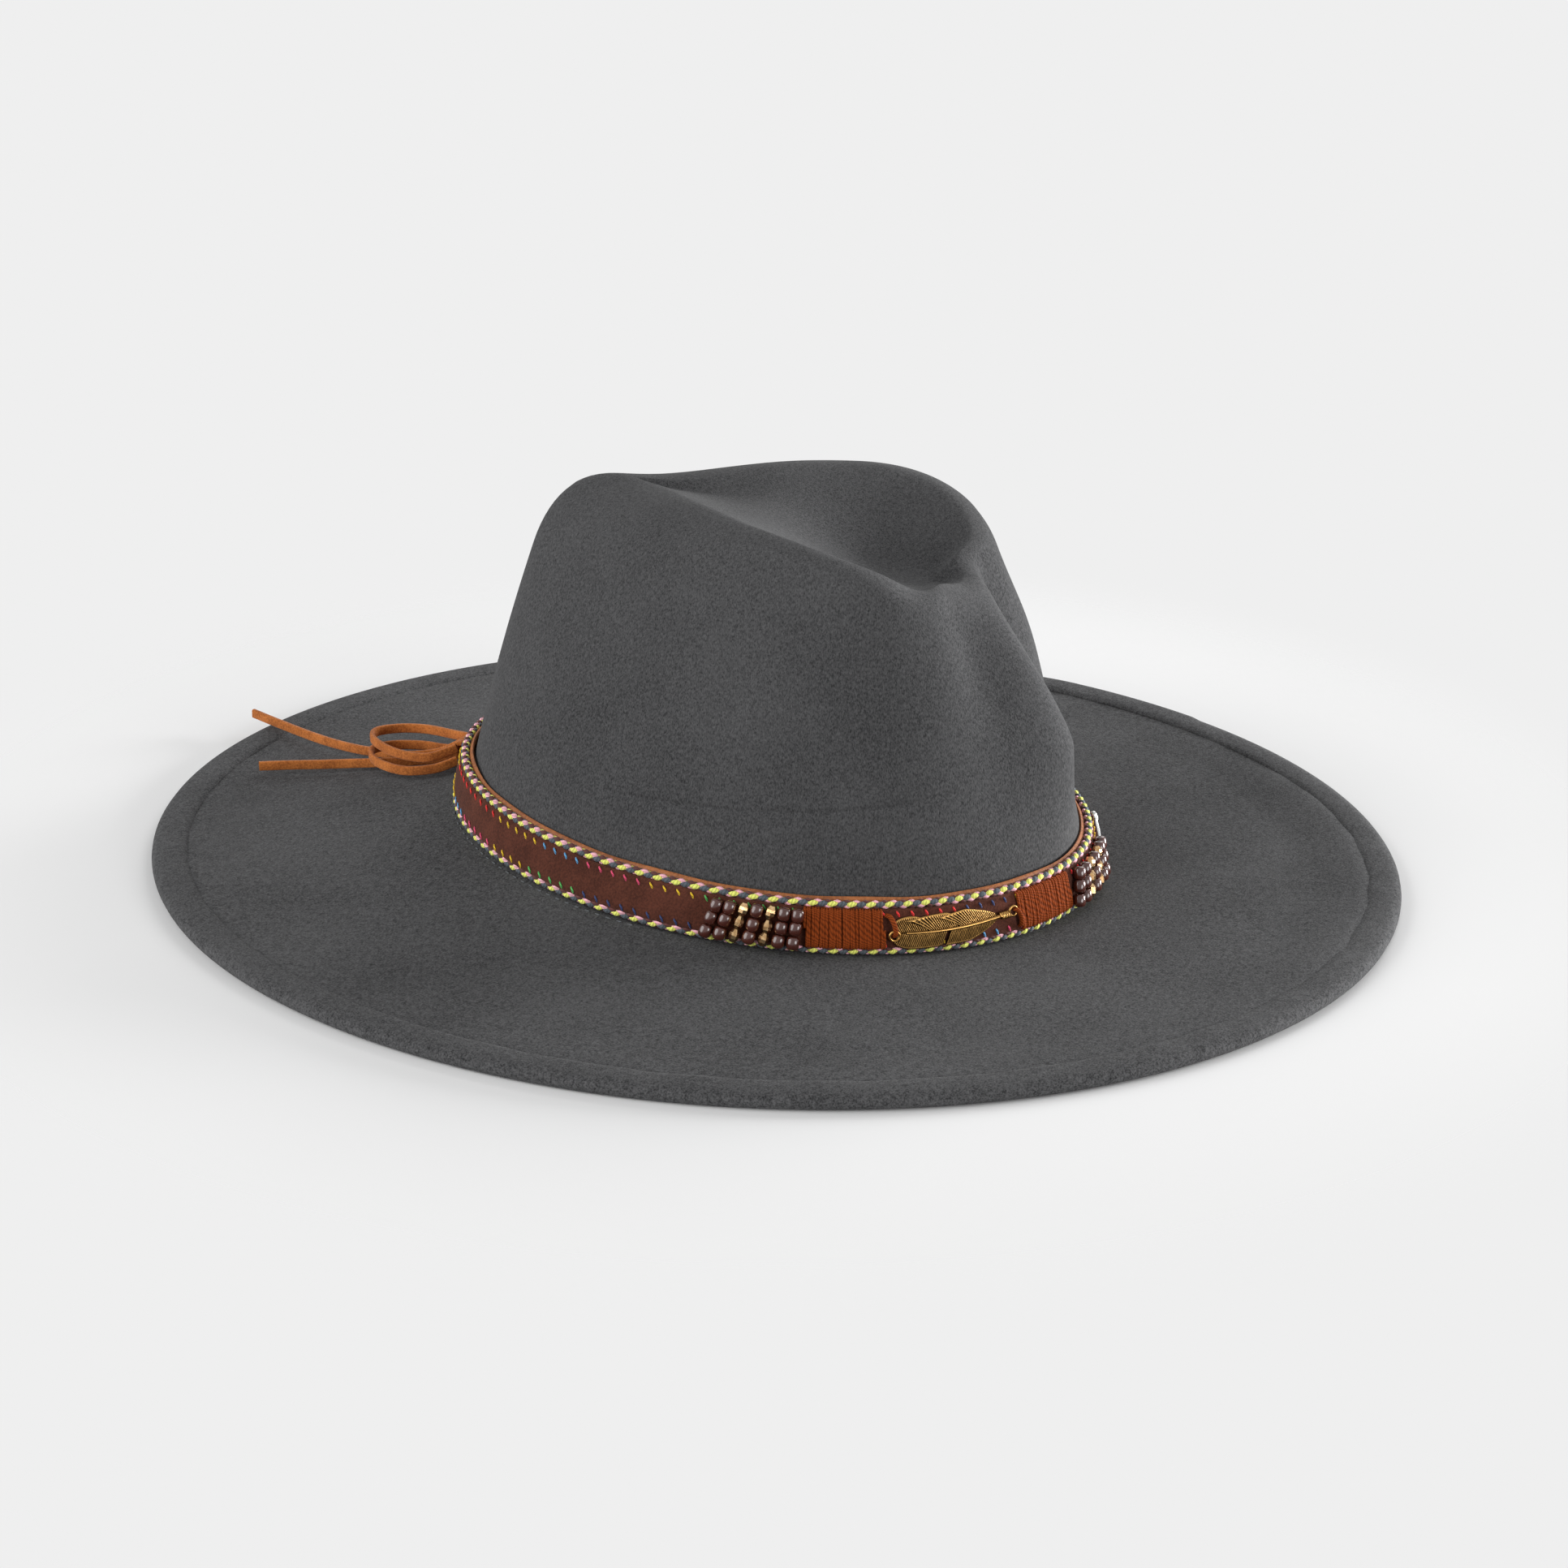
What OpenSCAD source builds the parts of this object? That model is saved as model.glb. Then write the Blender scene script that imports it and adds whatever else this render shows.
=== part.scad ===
// Wide-brim felt fedora with a decorated leather hat band.
// Millimetres, +Z up, front of the hat at -Y, wearer's left at +X.
// Origin: middle of the brim's oval, on the surface that the hat stands on.

/* [Brim] */
// Length of the brim's oval, front to back
brim_l = 390; // [370:1:410]
// Width of the brim's oval, side to side
brim_w = 354; // [340:1:370]
// Thickness of the felt
felt_t = 2.2; // [1.8:0.1:2.4]
// Width of the folded felt strip that binds the brim's edge
binding_w = 11; // [9:0.5:14]
// Thickness of the binding strip's felt
binding_t = 1.35; // [1.2:0.05:1.4]
// Diameter of the wire inside the bound edge
wire_d = 2; // [1.6:0.1:2]

/* [Crown] */
// Length of the crown at its foot, outside
crown_l = 197; // [190:1:205]
// Width of the crown at its foot, outside
crown_w = 159; // [152:1:166]
// Height of the crown's side rims above its foot
crown_h = 110; // [100:1:116]
// How far the crown's middle lies behind the brim's middle
crown_back = -1; // [-3:0.5:3]
// How much higher the foot of the crown is at the back than at the front
foot_rise = 12.8; // [8:0.2:14]
// Reach of the crown's shoulder to the front, to the back and to each side
shoulder = [65, 72, 43]; // [40:1:76]
// How much wider the rim is at the front than in the middle, as a share
rim_taper = 0.52; // [0:0.02:0.56]
// Sideways set of the hand-shaped rim to the wearer's left, and its growth towards the front
rim_shift = [5.8, 0.18]; // [0:0.01:6]
// Radius of the rim's fold at the front and at the back
fold_r = [10, 26]; // [7:1:28]
// Half width of the front ridge between the two pinches, in degrees of the oval
ridge_w = 14; // [10:1:18]
// Depth of the front pinch on the wearer's right and on the left
pinch = [8, 4]; // [0:1:10]
// Forward reach and rise of the ridge's tip between the pinches
tip = [4, 1.5]; // [0:0.5:5]
// Depth of the teardrop dent below the rim, at the front and at the back
dent = [20, 5]; // [3:1:22]

/* [Sweatband] */
// Height of the sweatband
sweat_h = 34; // [28:1:38]
// Thickness of the sweatband
sweat_t = 1.1; // [0.8:0.1:1.3]

/* [Hat band] */
// Height of the leather backing strip
band_h = 16.2; // [16:0.2:19]
// Thickness of the backing strip
backing_t = 1.2; // [0.8:0.1:1.4]
// Thickness of the suede face strip
face_t = 0.9; // [0.7:0.1:1.2]
// Diameter of the braided edge cords
braid_d = 2.6; // [2:0.1:2.8]
// Running gap between the crown and the band
band_gap = 0.7; // [0.6:0.1:1]

/* [Ornaments] */
// Diameter of the barrel beads
bead_d = 3.9; // [3.6:0.1:4]
// Length of the barrel beads
bead_l = 3.9; // [3.4:0.1:4]
// Diameter of the thread in the two wrapped blocks
thread_d = 0.9; // [0.7:0.05:0.95]
// Turns of thread in each wrapped block
wrap_turns = 16; // [8:1:17]
// Length of the feather charm's vane
feather_l = 33; // [30:1:34]
// Height of the feather charm's vane
feather_h = 9.5; // [8:0.5:10]

/* [Tie] */
// Width of the flat leather lace
lace_w = 3; // [2.4:0.1:3]
// Thickness of the flat leather lace
lace_t = 1.5; // [1.2:0.1:1.6]

/* [Hidden] */

// Steps round the hat: the crown, and everything swept round an oval
crown_steps = 48;
ring_steps = 72;
// Rings up the crown's wall, over its fold and down into its dent
wall_rings = 7;
fold_rings = 4;
dent_rings = 5;
// Heights of the bound edge, of the brim's felt in it and of the felt at the crown's front foot, and how
// late the foot's line rises to the back
edge_h = 2 * binding_t + felt_t + 0.1;
felt_low = binding_t + 0.05;
foot_front = felt_t + 0.25;
foot_bend = 1.35;
// Slack between pieces that lie against each other
slack = 0.1;
crown_a = crown_l / 2;
crown_b = crown_w / 2;
rim_drop_front = 14.2;
rim_drop_back = 3.6;
// Reach of the front drop along the rim, and the ends of the dent's crease
rim_drop_l = 56;
crease = [48, 40];
// Lowest point of the band above the crown's foot
band_foot = 0.6;
face_low = braid_d + thread_d + 0.2;
braid_high = band_h - 0.6 - braid_d / 2;
face_high = braid_high - braid_d / 2 - thread_d - 0.2;
backing_in = band_gap;
backing_out = backing_in + backing_t;
face_in = backing_out + thread_d + 6 * slack;
face_out = face_in + face_t;
braid_out = backing_out + braid_d / 2 + 0.05;
// Places round the hat, in degrees of the oval from the front, positive to the wearer's left
beads_side_at = -82;
beads_front_at = -6.4;
bead_slant = -14;
bead_pitch_side = 2.37;
bead_pitch_front = 2.8;
wrap_side_at = -59.4;
wrap_front_at = -16.6;
feather_at = -40.1;
link_at = 23;
tie_at = 180;
wrap_rings = 12;
wrap_sides = 6;
lace_sides = 8;
charm_t = 1.1;

// The lace's routes, from the knot to the far end of the loop or tail
loop_upper_route = [[5, 106, 21], [10, 115, 19], [14, 126, 17.6], [13, 135, 17], [8, 141, 16.8],
    [2, 140, 16.8], [-4, 133, 16.8], [-8, 124, 17], [-9, 114, 18], [-5, 106, 21]];
loop_lower_route = [[3, 106, 17.6], [7, 116, 15], [9, 126, 13.9], [6, 135, 13.6], [0, 139, 13.5],
    [-7, 135, 13.4], [-11, 128, 13.4], [-12.6, 120, 13.8], [-11, 111, 15.4], [-7, 105, 17.6]];
tail_long_route = [[1.5, 106.5, 20.8], [2, 116, 15.4], [4, 128, 11.8], [7, 138, 9.9], [9.5, 148, 8.6],
    [13, 158.5, 7.6], [17, 169, 7], [21, 179, 6.8], [25, 189, 6.8], [29, 199, 6.9]];
tail_short_route = [[-2.5, 106.5, 18], [-2.4, 114, 15.2], [-2, 124, 12.7], [-2, 134, 10.6], [-3, 144, 9.1],
    [-5.5, 155, 7.9], [-8.5, 165, 7.2], [-12, 174, 6.7]];

function clamp01(u) = min(1, max(0, u));
function smooth(u) = let (v = clamp01(u)) v * v * (3 - 2 * v);
function mix(p, q, u) = p + (q - p) * u;
function unit(v) = v / norm(v);

// Outward normal of the crown's foot oval, level
function foot_normal(th) = unit([sin(th) / crown_b, -cos(th) / crown_a, 0]);
// Height of the crown's foot line at a place along the hat
function foot_z(y) = foot_front + foot_rise * pow(max(0, 0.5 + 0.5 * (y - crown_back) / crown_a), foot_bend);
// Angle from the front, between -180 and 180
function turn(th) = th > 180 ? th - 360 : th;
// Reach of the shoulder towards the front
function shoulder_f(th) = cos(th) * (cos(th) > 0 ? shoulder[0] : shoulder[1])
    + tip[0] * exp(-pow(turn(th) / 9, 2));
// Height of the rim above the foot, lower at the back and at the front tip
function rim_h(f) = crown_h - rim_drop_back * smooth((-f - 5) / 60)
    - rim_drop_front * pow(clamp01(1 - (shoulder[0] - f) / rim_drop_l), 2)
    + tip[1] * smooth((f - shoulder[0] + 4) / 7);
// Height of the dent's floor above the foot
function floor_h(f) = crown_h - mix(dent[1], dent[0], smooth((f + 8) / 42));
// Sideways place of the rim's middle line, and of the rim itself
function rim_middle(f) = rim_shift[0] + rim_shift[1] * f;
function rim_side(th) = let (f = shoulder_f(th))
    sin(th) * shoulder[2] * (1 + rim_taper * f / shoulder[0]) + rim_middle(f) * pow(sin(th), 2);

// How the front ridge leans in: with the wall by the band, then upright, then back to the tip
function ridge_lean(t) = 0.12 * sin(90 * clamp01(t / 0.25)) + 0.88 * pow(clamp01((t - 0.4) / 0.6), 2);
// The crown's wall at a place round the hat and a part t of its height, above the foot line
function wall_level(th, t) = let (
        d = turn(th),
        g = mix(pow(t, 1.18), ridge_lean(t), exp(-pow(d / ridge_w, 2))),
        hollow = pinch[d > 0 ? 1 : 0] * exp(-pow((abs(d) - 34) / 15, 2)) * exp(-pow((t - 0.85) / 0.28, 2)),
        f = mix(crown_a * cos(th), shoulder_f(th), g) - hollow * cos(th),
        l = mix(crown_b * sin(th), rim_side(th), g) - hollow * sin(th))
    [l, crown_back - f, t * rim_h(shoulder_f(th))];
function lift(p) = [p[0], p[1], p[2] + foot_z(p[1])];
// A point h above the foot line and d outside the crown's felt
function by_wall(th, h, d) =
    lift(wall_level(th, h / rim_h(shoulder_f(th))) + d * foot_normal(th));

// One ring of the crown's outer skin
function crown_point(th, ring) = let (
        r = mix(fold_r[0], fold_r[1], pow((1 - cos(th)) / 2, 1.6)),
        h = rim_h(shoulder_f(th)),
        corner = wall_level(th, 1),
        f = cos(th) * (cos(th) > 0 ? crease[0] : crease[1]),
        spine = [rim_middle(f) * (1 - pow(f / shoulder[0], 2)), crown_back - f, 0],
        way = [spine[0] - corner[0], spine[1] - corner[1], 0],
        top = corner + unit(way) * min(r, 0.8 * norm(way)),
        start = wall_level(th, 1 - r / h),
        u = (ring - wall_rings) / fold_rings,
        v = 0.96 * (ring - wall_rings - fold_rings) / dent_rings,
        drop = floor_h(f) - h)
    ring <= wall_rings ? wall_level(th, (1 - r / h) * ring / wall_rings)
    : u <= 1 ? (1 - u) * (1 - u) * start + 2 * u * (1 - u) * corner + u * u * top
    : [mix(top[0], spine[0], v), mix(top[1], spine[1], v), h + drop * smooth(pow(v, 0.8))];

// Triangles of a closed band of quads between two loops of points
function strip(n, low, high) = [for (j = [0:n - 1], k = [0, 1]) let (m = (j + 1) % n)
    k == 0 ? [low + j, high + j, high + m] : [low + j, high + m, low + m]];
function turned(faces) = [for (f = faces) [f[0], f[2], f[1]]];

// A tube or strip swept round the hat: sections[j] lists its points at step j, counted round the section
module ring_sweep(sections) {
    n = len(sections);
    k = len(sections[0]);
    points = [for (i = [0:k - 1], j = [0:n - 1]) sections[j][i]];
    polyhedron(points, [for (i = [0:k - 1]) each strip(n, i * n, ((i + 1) % k) * n)]);
}

// A tube with two ends, from the rings of points along it
module tube(rings) {
    n = len(rings);
    k = len(rings[0]);
    walls = [for (i = [0:n - 2]) each turned(strip(k, i * k, (i + 1) * k))];
    low_end = [for (j = [1:k - 2]) [0, j + 1, j]];
    high_end = [for (j = [1:k - 2]) [(n - 1) * k, (n - 1) * k + j, (n - 1) * k + j + 1]];
    polyhedron([for (r = rings) each r], concat(walls, low_end, high_end));
}

// Steps round the oval, half a step off the front so that the two sides mirror each other
function steps(n) = [for (j = [0:n - 1]) (j + 0.5) * 360 / n];

// Felt crown: an even shell with a teardrop dent and two front pinches
module crown() {
    n = crown_steps;
    rings = wall_rings + fold_rings + dent_rings;
    skin = [for (i = [0:rings]) [for (th = steps(n)) crown_point(th, i)]];
    inner = [for (i = [0:rings]) [for (j = [0:n - 1]) let (
        along = skin[min(i + 1, rings)][j] - skin[max(i - 1, 0)][j],
        round = skin[i][(j + 1) % n] - skin[i][(j + n - 1) % n],
        normal = unit(cross(round, along)),
        level = i == 0 ? unit([normal[0], normal[1], 0]) : normal)
        skin[i][j] - felt_t * level]];
    count = (rings + 1) * n;
    shell = [for (i = [0:rings - 1]) each strip(n, i * n, (i + 1) * n)];
    lining = [for (f = turned(shell)) [f[0] + count, f[1] + count, f[2] + count]];
    foot = turned(strip(n, 0, count));
    seam = [for (j = [0:n / 2 - 2], k = [0, 1]) let (s = rings * n)
        k == 0 ? [s + j, s + n - 1 - j, s + n - 2 - j] : [s + j, s + n - 2 - j, s + j + 1]];
    inner_seam = [for (f = turned(seam)) [f[0] + count, f[1] + count, f[2] + count]];
    color("dimgray") polyhedron(
        [for (p = concat([for (r = skin) each r], [for (r = inner) each r])) lift(p)],
        concat(shell, lining, foot, seam, inner_seam));
}

function brim_point(th, inward) = let (
        p = [brim_w / 2 * sin(th), -brim_l / 2 * cos(th)],
        n = unit([sin(th) / brim_w, -cos(th) / brim_l]))
    p - inward * n;

// Felt brim: a plate that runs down from the crown's foot to its flat edge
module brim() {
    edge_in = binding_t + wire_d + 2 * slack;
    ledge = felt_t + sweat_t + 2 * slack;
    level = 0.06;
    flat = 0.86;
    parts = [0, level, 0.2, 0.4, 0.65, flat, 1];
    function top(th, u) = let (
            foot = by_wall(th, 0, -ledge),
            edge = brim_point(th, edge_in),
            y = mix(foot[1], edge[1], u),
            fall = pow(1 - clamp01((u - level) / (flat - level)), 1.6))
        [mix(foot[0], edge[0], u), y, mix(felt_low + felt_t, foot_z(u > level ? foot[1] : y), fall)];
    color("dimgray") ring_sweep([for (th = steps(ring_steps)) concat(
        [for (i = [len(parts) - 1:-1:0]) top(th, parts[i])],
        [for (u = parts) top(th, u) - [0, 0, felt_t]])]);
}

// Folded felt strip sewn over the brim's edge
module brim_binding() {
    t = binding_t;
    profile = [[binding_w, 0], [2.4, 0], [0.7, 0.8], [0, edge_h / 2], [0.7, edge_h - 0.8], [2.4, edge_h],
        [binding_w, edge_h], [binding_w, edge_h - t], [t + 0.4, edge_h - t], [t, edge_h / 2], [t + 0.4, t],
        [binding_w, t]];
    color("dimgray") ring_sweep([for (th = steps(ring_steps)) [for (q = profile)
        concat(brim_point(th, q[0]), q[1])]]);
}

// Wire inside the bound edge
module brim_wire() {
    color("silver") ring_sweep([for (th = steps(ring_steps)) [for (a = [0:60:300])
        concat(brim_point(th, binding_t + slack + wire_d / 2 - wire_d / 2 * sin(a)),
            edge_h / 2 - wire_d / 2 * cos(a))]]);
}

// Sweatband: a leather strip that stands inside the crown's foot
module sweatband() {
    out = 1.06 * felt_t + 0.3;
    color("saddlebrown") ring_sweep([for (th = steps(crown_steps)) [
        by_wall(th, 0.02, -out - sweat_t), by_wall(th, 0.02, -out),
        by_wall(th, sweat_h / 2, -out), by_wall(th, sweat_h, -out),
        by_wall(th, sweat_h, -out - sweat_t), by_wall(th, sweat_h / 2, -out - sweat_t)]]);
}

// A flat strip round the crown between two heights of the band and two distances from the felt
module band_strip(low, high, inside, outside) {
    ring_sweep([for (th = steps(ring_steps)) [
        by_wall(th, band_foot + low, inside), by_wall(th, band_foot + low, outside),
        by_wall(th, band_foot + high, outside), by_wall(th, band_foot + high, inside)]]);
}

module band_backing() {
    color("peru") band_strip(0, band_h, backing_in, backing_out);
}

module band_face() {
    color("saddlebrown") band_strip(face_low, face_high, face_in, face_out);
}

// Braided cord along one edge of the band
module braid(h) {
    r = braid_d / 2;
    color("khaki") ring_sweep([for (th = steps(ring_steps)) [for (a = [0:60:300])
        by_wall(th, band_foot + h + r * sin(a), braid_out + r * cos(a))]]);
}

// A winding of thread round the suede strip, one unbroken tube
function wrap_path(at) = let (
        r = thread_d / 2,
        mid_h = band_foot + (face_low + face_high) / 2,
        half = (face_high - face_low) / 2,
        mid_d = (face_in + face_out) / 2,
        deep = face_t / 2 + r + 3 * slack,
        loop = concat([for (k = [-1:0.5:1]) [k * half, deep]], [[half + r + slack, 0]],
            [for (k = [1:-0.5:-1]) [k * half, -deep]], [[-half - r - slack, 0]]),
        degree = norm(by_wall(at + 0.5, mid_h, mid_d - deep) - by_wall(at - 0.5, mid_h, mid_d - deep)),
        turn = (thread_d + 0.5) / degree)
    [for (k = [0:wrap_turns * wrap_rings]) let (
            q = loop[k % wrap_rings],
            th = at + turn * (k / wrap_rings - wrap_turns / 2))
        by_wall(th, mid_h + q[0], mid_d + q[1])];

module wrap(at) {
    path = wrap_path(at);
    echo(least_gap = wrap_gap(path));
    color("chocolate") tube(tube_rings(path, wrap_sides, thread_d, thread_d));
}

// Least clear distance between neighbouring turns of a winding
function wrap_gap(path) = min([for (i = [0:len(path) - wrap_rings - 2], k = [-1, 0, 1])
    norm(path[i + wrap_rings + k] - path[i])]) - thread_d;

// Rings of a tube along a path: w is its upright width and t its level thickness
function tube_rings(path, sides, w, t) = [for (i = [0:len(path) - 1]) let (
        ahead = unit(path[min(i + 1, len(path) - 1)] - path[max(i - 1, 0)]),
        level = unit(cross(ahead, abs(ahead[2]) > 0.98 ? [1, 0, 0] : [0, 0, 1])),
        upright = cross(level, ahead))
    [for (k = [0:sides - 1]) let (a = 360 * k / sides)
        path[i] + level * (t / 2 * cos(a)) + upright * (w / 2 * sin(a))]];

// Places a child on the band, its z along the crown's slope and its x away from the felt
module on_band(th, h, d) {
    up = unit(by_wall(th, band_foot + h + 1, d) - by_wall(th, band_foot + h - 1, d));
    out = foot_normal(th);
    turn = atan2(out[1], out[0]);
    translate(by_wall(th, band_foot + h, d)) rotate([0, 0, turn]) rotate([0, -acos(up[2]), 0]) children();
}

// One barrel bead, standing on its thread's axis
module bead() {
    belly = 0.45;
    arc_r = (pow(bead_l / 2, 2) + belly * belly) / (2 * belly);
    rotate_extrude($fn = 32) intersection() {
        translate([bead_d / 2 - arc_r, 0]) circle(arc_r, $fn = 96);
        translate([0.5, -bead_l / 2]) square([bead_d, bead_l]);
    }
}

module bead_column(at, colour) {
    middle = (face_low + face_high) / 2;
    color(colour) on_band(at, middle, face_out + bead_d / 2 + 3 * slack) rotate([bead_slant, 0, 0])
        for (i = [-1:1]) translate([0, 0, i * (bead_l + 0.2)]) bead();
}

function bead_colour(i) = i == 3 || i == 5 ? "darkgoldenrod" : "maroon";

// Cast feather charm, bent to the crown's curve: a split vane, a raised shaft, a bound neck and an eye
module feather_charm() {
    bend_r = 94;
    half = feather_l / 2 / bend_r * 57.3;
    color("darkgoldenrod") on_band(feather_at, (face_low + face_high) / 2, face_out + 0.6)
        translate([-bend_r, 0, 0]) rotate([-2, 0, 0]) union() {
            intersection() {
                difference() {
                    cylinder(h = 2 * feather_h, r = bend_r + charm_t, center = true, $fn = 180);
                    cylinder(h = 3 * feather_h, r = bend_r, center = true, $fn = 180);
                }
                translate([bend_r - 8, 0, 0]) rotate([90, 0, 90]) linear_extrude(12) vane();
            }
            rotate([0, 0, 1.8 - half]) rotate_extrude(angle = 2 * half + 0.6, $fn = 180)
                translate([bend_r + charm_t, 0]) circle(0.7, $fn = 24);
            for (i = [0:3]) rotate([0, 0, half - 0.9 + 0.75 * i])
                translate([bend_r + charm_t, 0, 0]) rotate([90, 0, 0])
                cylinder(h = 0.9, r = 1.2, center = true, $fn = 24);
            rotate([0, 0, half + 3.3]) translate([bend_r + charm_t, 0, 0]) rotate([0, 90, 0])
                rotate_extrude($fn = 48) translate([1.25, 0]) circle(0.45, $fn = 24);
        }
}

// Half the vane's height at a part s of its length from the neck to the round tip
function vane_half(s) = feather_h / 2 * pow(sin(180 * pow(s, 0.85)), 0.6);

// Flat outline of the feather's vane with its split barbs
module vane() {
    parts = [for (s = [0.02:0.04:0.99]) s];
    difference() {
        polygon(concat([for (s = parts) [feather_l * (0.5 - s), vane_half(s)]],
            [for (i = [1:len(parts)]) let (s = parts[len(parts) - i]) [feather_l * (0.5 - s), -vane_half(s)]]));
        for (s = [[3.5, 1], [-3.5, 1], [0.5, -1]])
            translate([s[0], s[1] * 1.3]) rotate(s[1] * 145)
            polygon([[0, 0], [9, s[1] * 0.3], [9, -s[1]]]);
    }
}

// Ring that ties the feather's tip to the band
module charm_ring() {
    color("darkgoldenrod") on_band(feather_at - 10.9, (face_low + face_high) / 2 - 1, face_out + 1.2)
        rotate([0, 90, 0]) rotate_extrude($fn = 48) translate([1.45, 0]) circle(0.45, $fn = 24);
}

// Polished bar sewn on beside the front beads
module silver_link() {
    color("silver") on_band(link_at, (face_low + face_high) / 2, face_out + 1.25) union() {
        cylinder(h = 11, r = 1.2, center = true, $fn = 32);
        for (z = [-5.5, 5.5]) translate([0, 0, z]) sphere(1.2, $fn = 32);
    }
}

// Knot of the lace against the band at the back
module tie_knot() {
    color("peru") on_band(tie_at, 3.4, face_out + 3.7) rotate([90, 0, 0]) rotate_extrude($fn = 48)
        intersection() {
            translate([-9.5, 0]) circle(13, $fn = 96);
            translate([0, -7]) square([5, 14]);
        }
}

// A stretch of flat lace on edge along its route
module lace(route) {
    color("peru") tube(tube_rings(route, lace_sides, lace_w, lace_t));
}

crown();
brim();
brim_binding();
brim_wire();
sweatband();
band_backing();
band_face();
braid(braid_high);  // upper_braid
braid(braid_d / 2);  // lower_braid
wrap(wrap_side_at);  // wrap_right_side
wrap(wrap_front_at);  // wrap_front
feather_charm();
charm_ring();
silver_link();
tie_knot();
lace(loop_upper_route);  // tie_loop_upper
lace(loop_lower_route);  // tie_loop_lower
lace(tail_long_route);  // tie_tail_long
lace(tail_short_route);  // tie_tail_short
for (i = [1:7]) {
    bead_column(beads_side_at + (i - 1) * bead_pitch_side, bead_colour(i));
    bead_column(beads_front_at + (i - 1) * bead_pitch_front, bead_colour(i));
}
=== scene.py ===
"""Wide-brim felt fedora with a beaded leather hat band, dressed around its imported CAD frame."""

import logging
import math
from dataclasses import dataclass
from enum import Enum

import bpy
import numpy as np
from mathutils import Matrix, Quaternion, Vector


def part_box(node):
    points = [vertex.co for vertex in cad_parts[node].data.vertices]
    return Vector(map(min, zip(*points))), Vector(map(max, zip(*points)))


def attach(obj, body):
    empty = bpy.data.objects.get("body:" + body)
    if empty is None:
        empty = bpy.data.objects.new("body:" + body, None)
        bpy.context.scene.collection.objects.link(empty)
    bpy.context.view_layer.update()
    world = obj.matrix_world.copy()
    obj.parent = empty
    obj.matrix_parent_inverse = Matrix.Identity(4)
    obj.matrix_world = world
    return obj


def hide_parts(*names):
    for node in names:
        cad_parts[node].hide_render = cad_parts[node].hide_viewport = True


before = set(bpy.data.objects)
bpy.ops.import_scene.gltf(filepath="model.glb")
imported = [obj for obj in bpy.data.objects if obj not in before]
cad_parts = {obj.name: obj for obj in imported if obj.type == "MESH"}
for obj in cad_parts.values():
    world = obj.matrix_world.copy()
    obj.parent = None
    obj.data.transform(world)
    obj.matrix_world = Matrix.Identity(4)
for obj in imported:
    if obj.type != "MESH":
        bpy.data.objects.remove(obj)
log = logging.getLogger("fedora")

Piece = bpy.types.Object
Pair = tuple[float, float]
Triple = tuple[float, float, float]

MM = 0.001
UP = np.array((0, 0, 1.0))


def mix(low: np.ndarray, high: np.ndarray, share: np.ndarray) -> np.ndarray:
    """Blends two values by a share from 0 to 1."""
    return low + (high - low) * share


def smooth(share: np.ndarray) -> np.ndarray:
    """Eases a share that is first held between 0 and 1."""
    held = np.clip(share, 0, 1)
    return held * held * (3 - 2 * held)


def bell(distance: np.ndarray, width: float) -> np.ndarray:
    """Gives a bell curve that is 1 at distance 0."""
    return np.exp(-((distance / width) ** 2))


def cos_d(angle: np.ndarray) -> np.ndarray:
    """Cosine of an angle in degrees."""
    return np.cos(np.radians(angle))


def sin_d(angle: np.ndarray) -> np.ndarray:
    """Sine of an angle in degrees."""
    return np.sin(np.radians(angle))


def from_front(th: np.ndarray) -> np.ndarray:
    """Gives an angle's turn from the front, between -180 and 180 degrees."""
    return (th + 180) % 360 - 180


def unit(vectors: np.ndarray) -> np.ndarray:
    """Scales vectors to length 1."""
    return vectors / np.linalg.norm(vectors, axis=-1, keepdims=True)


def stack(*parts: np.ndarray) -> np.ndarray:
    """Joins coordinates into points, stretching each part to the common shape."""
    return np.stack(np.broadcast_arrays(*parts), axis=-1)


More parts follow.
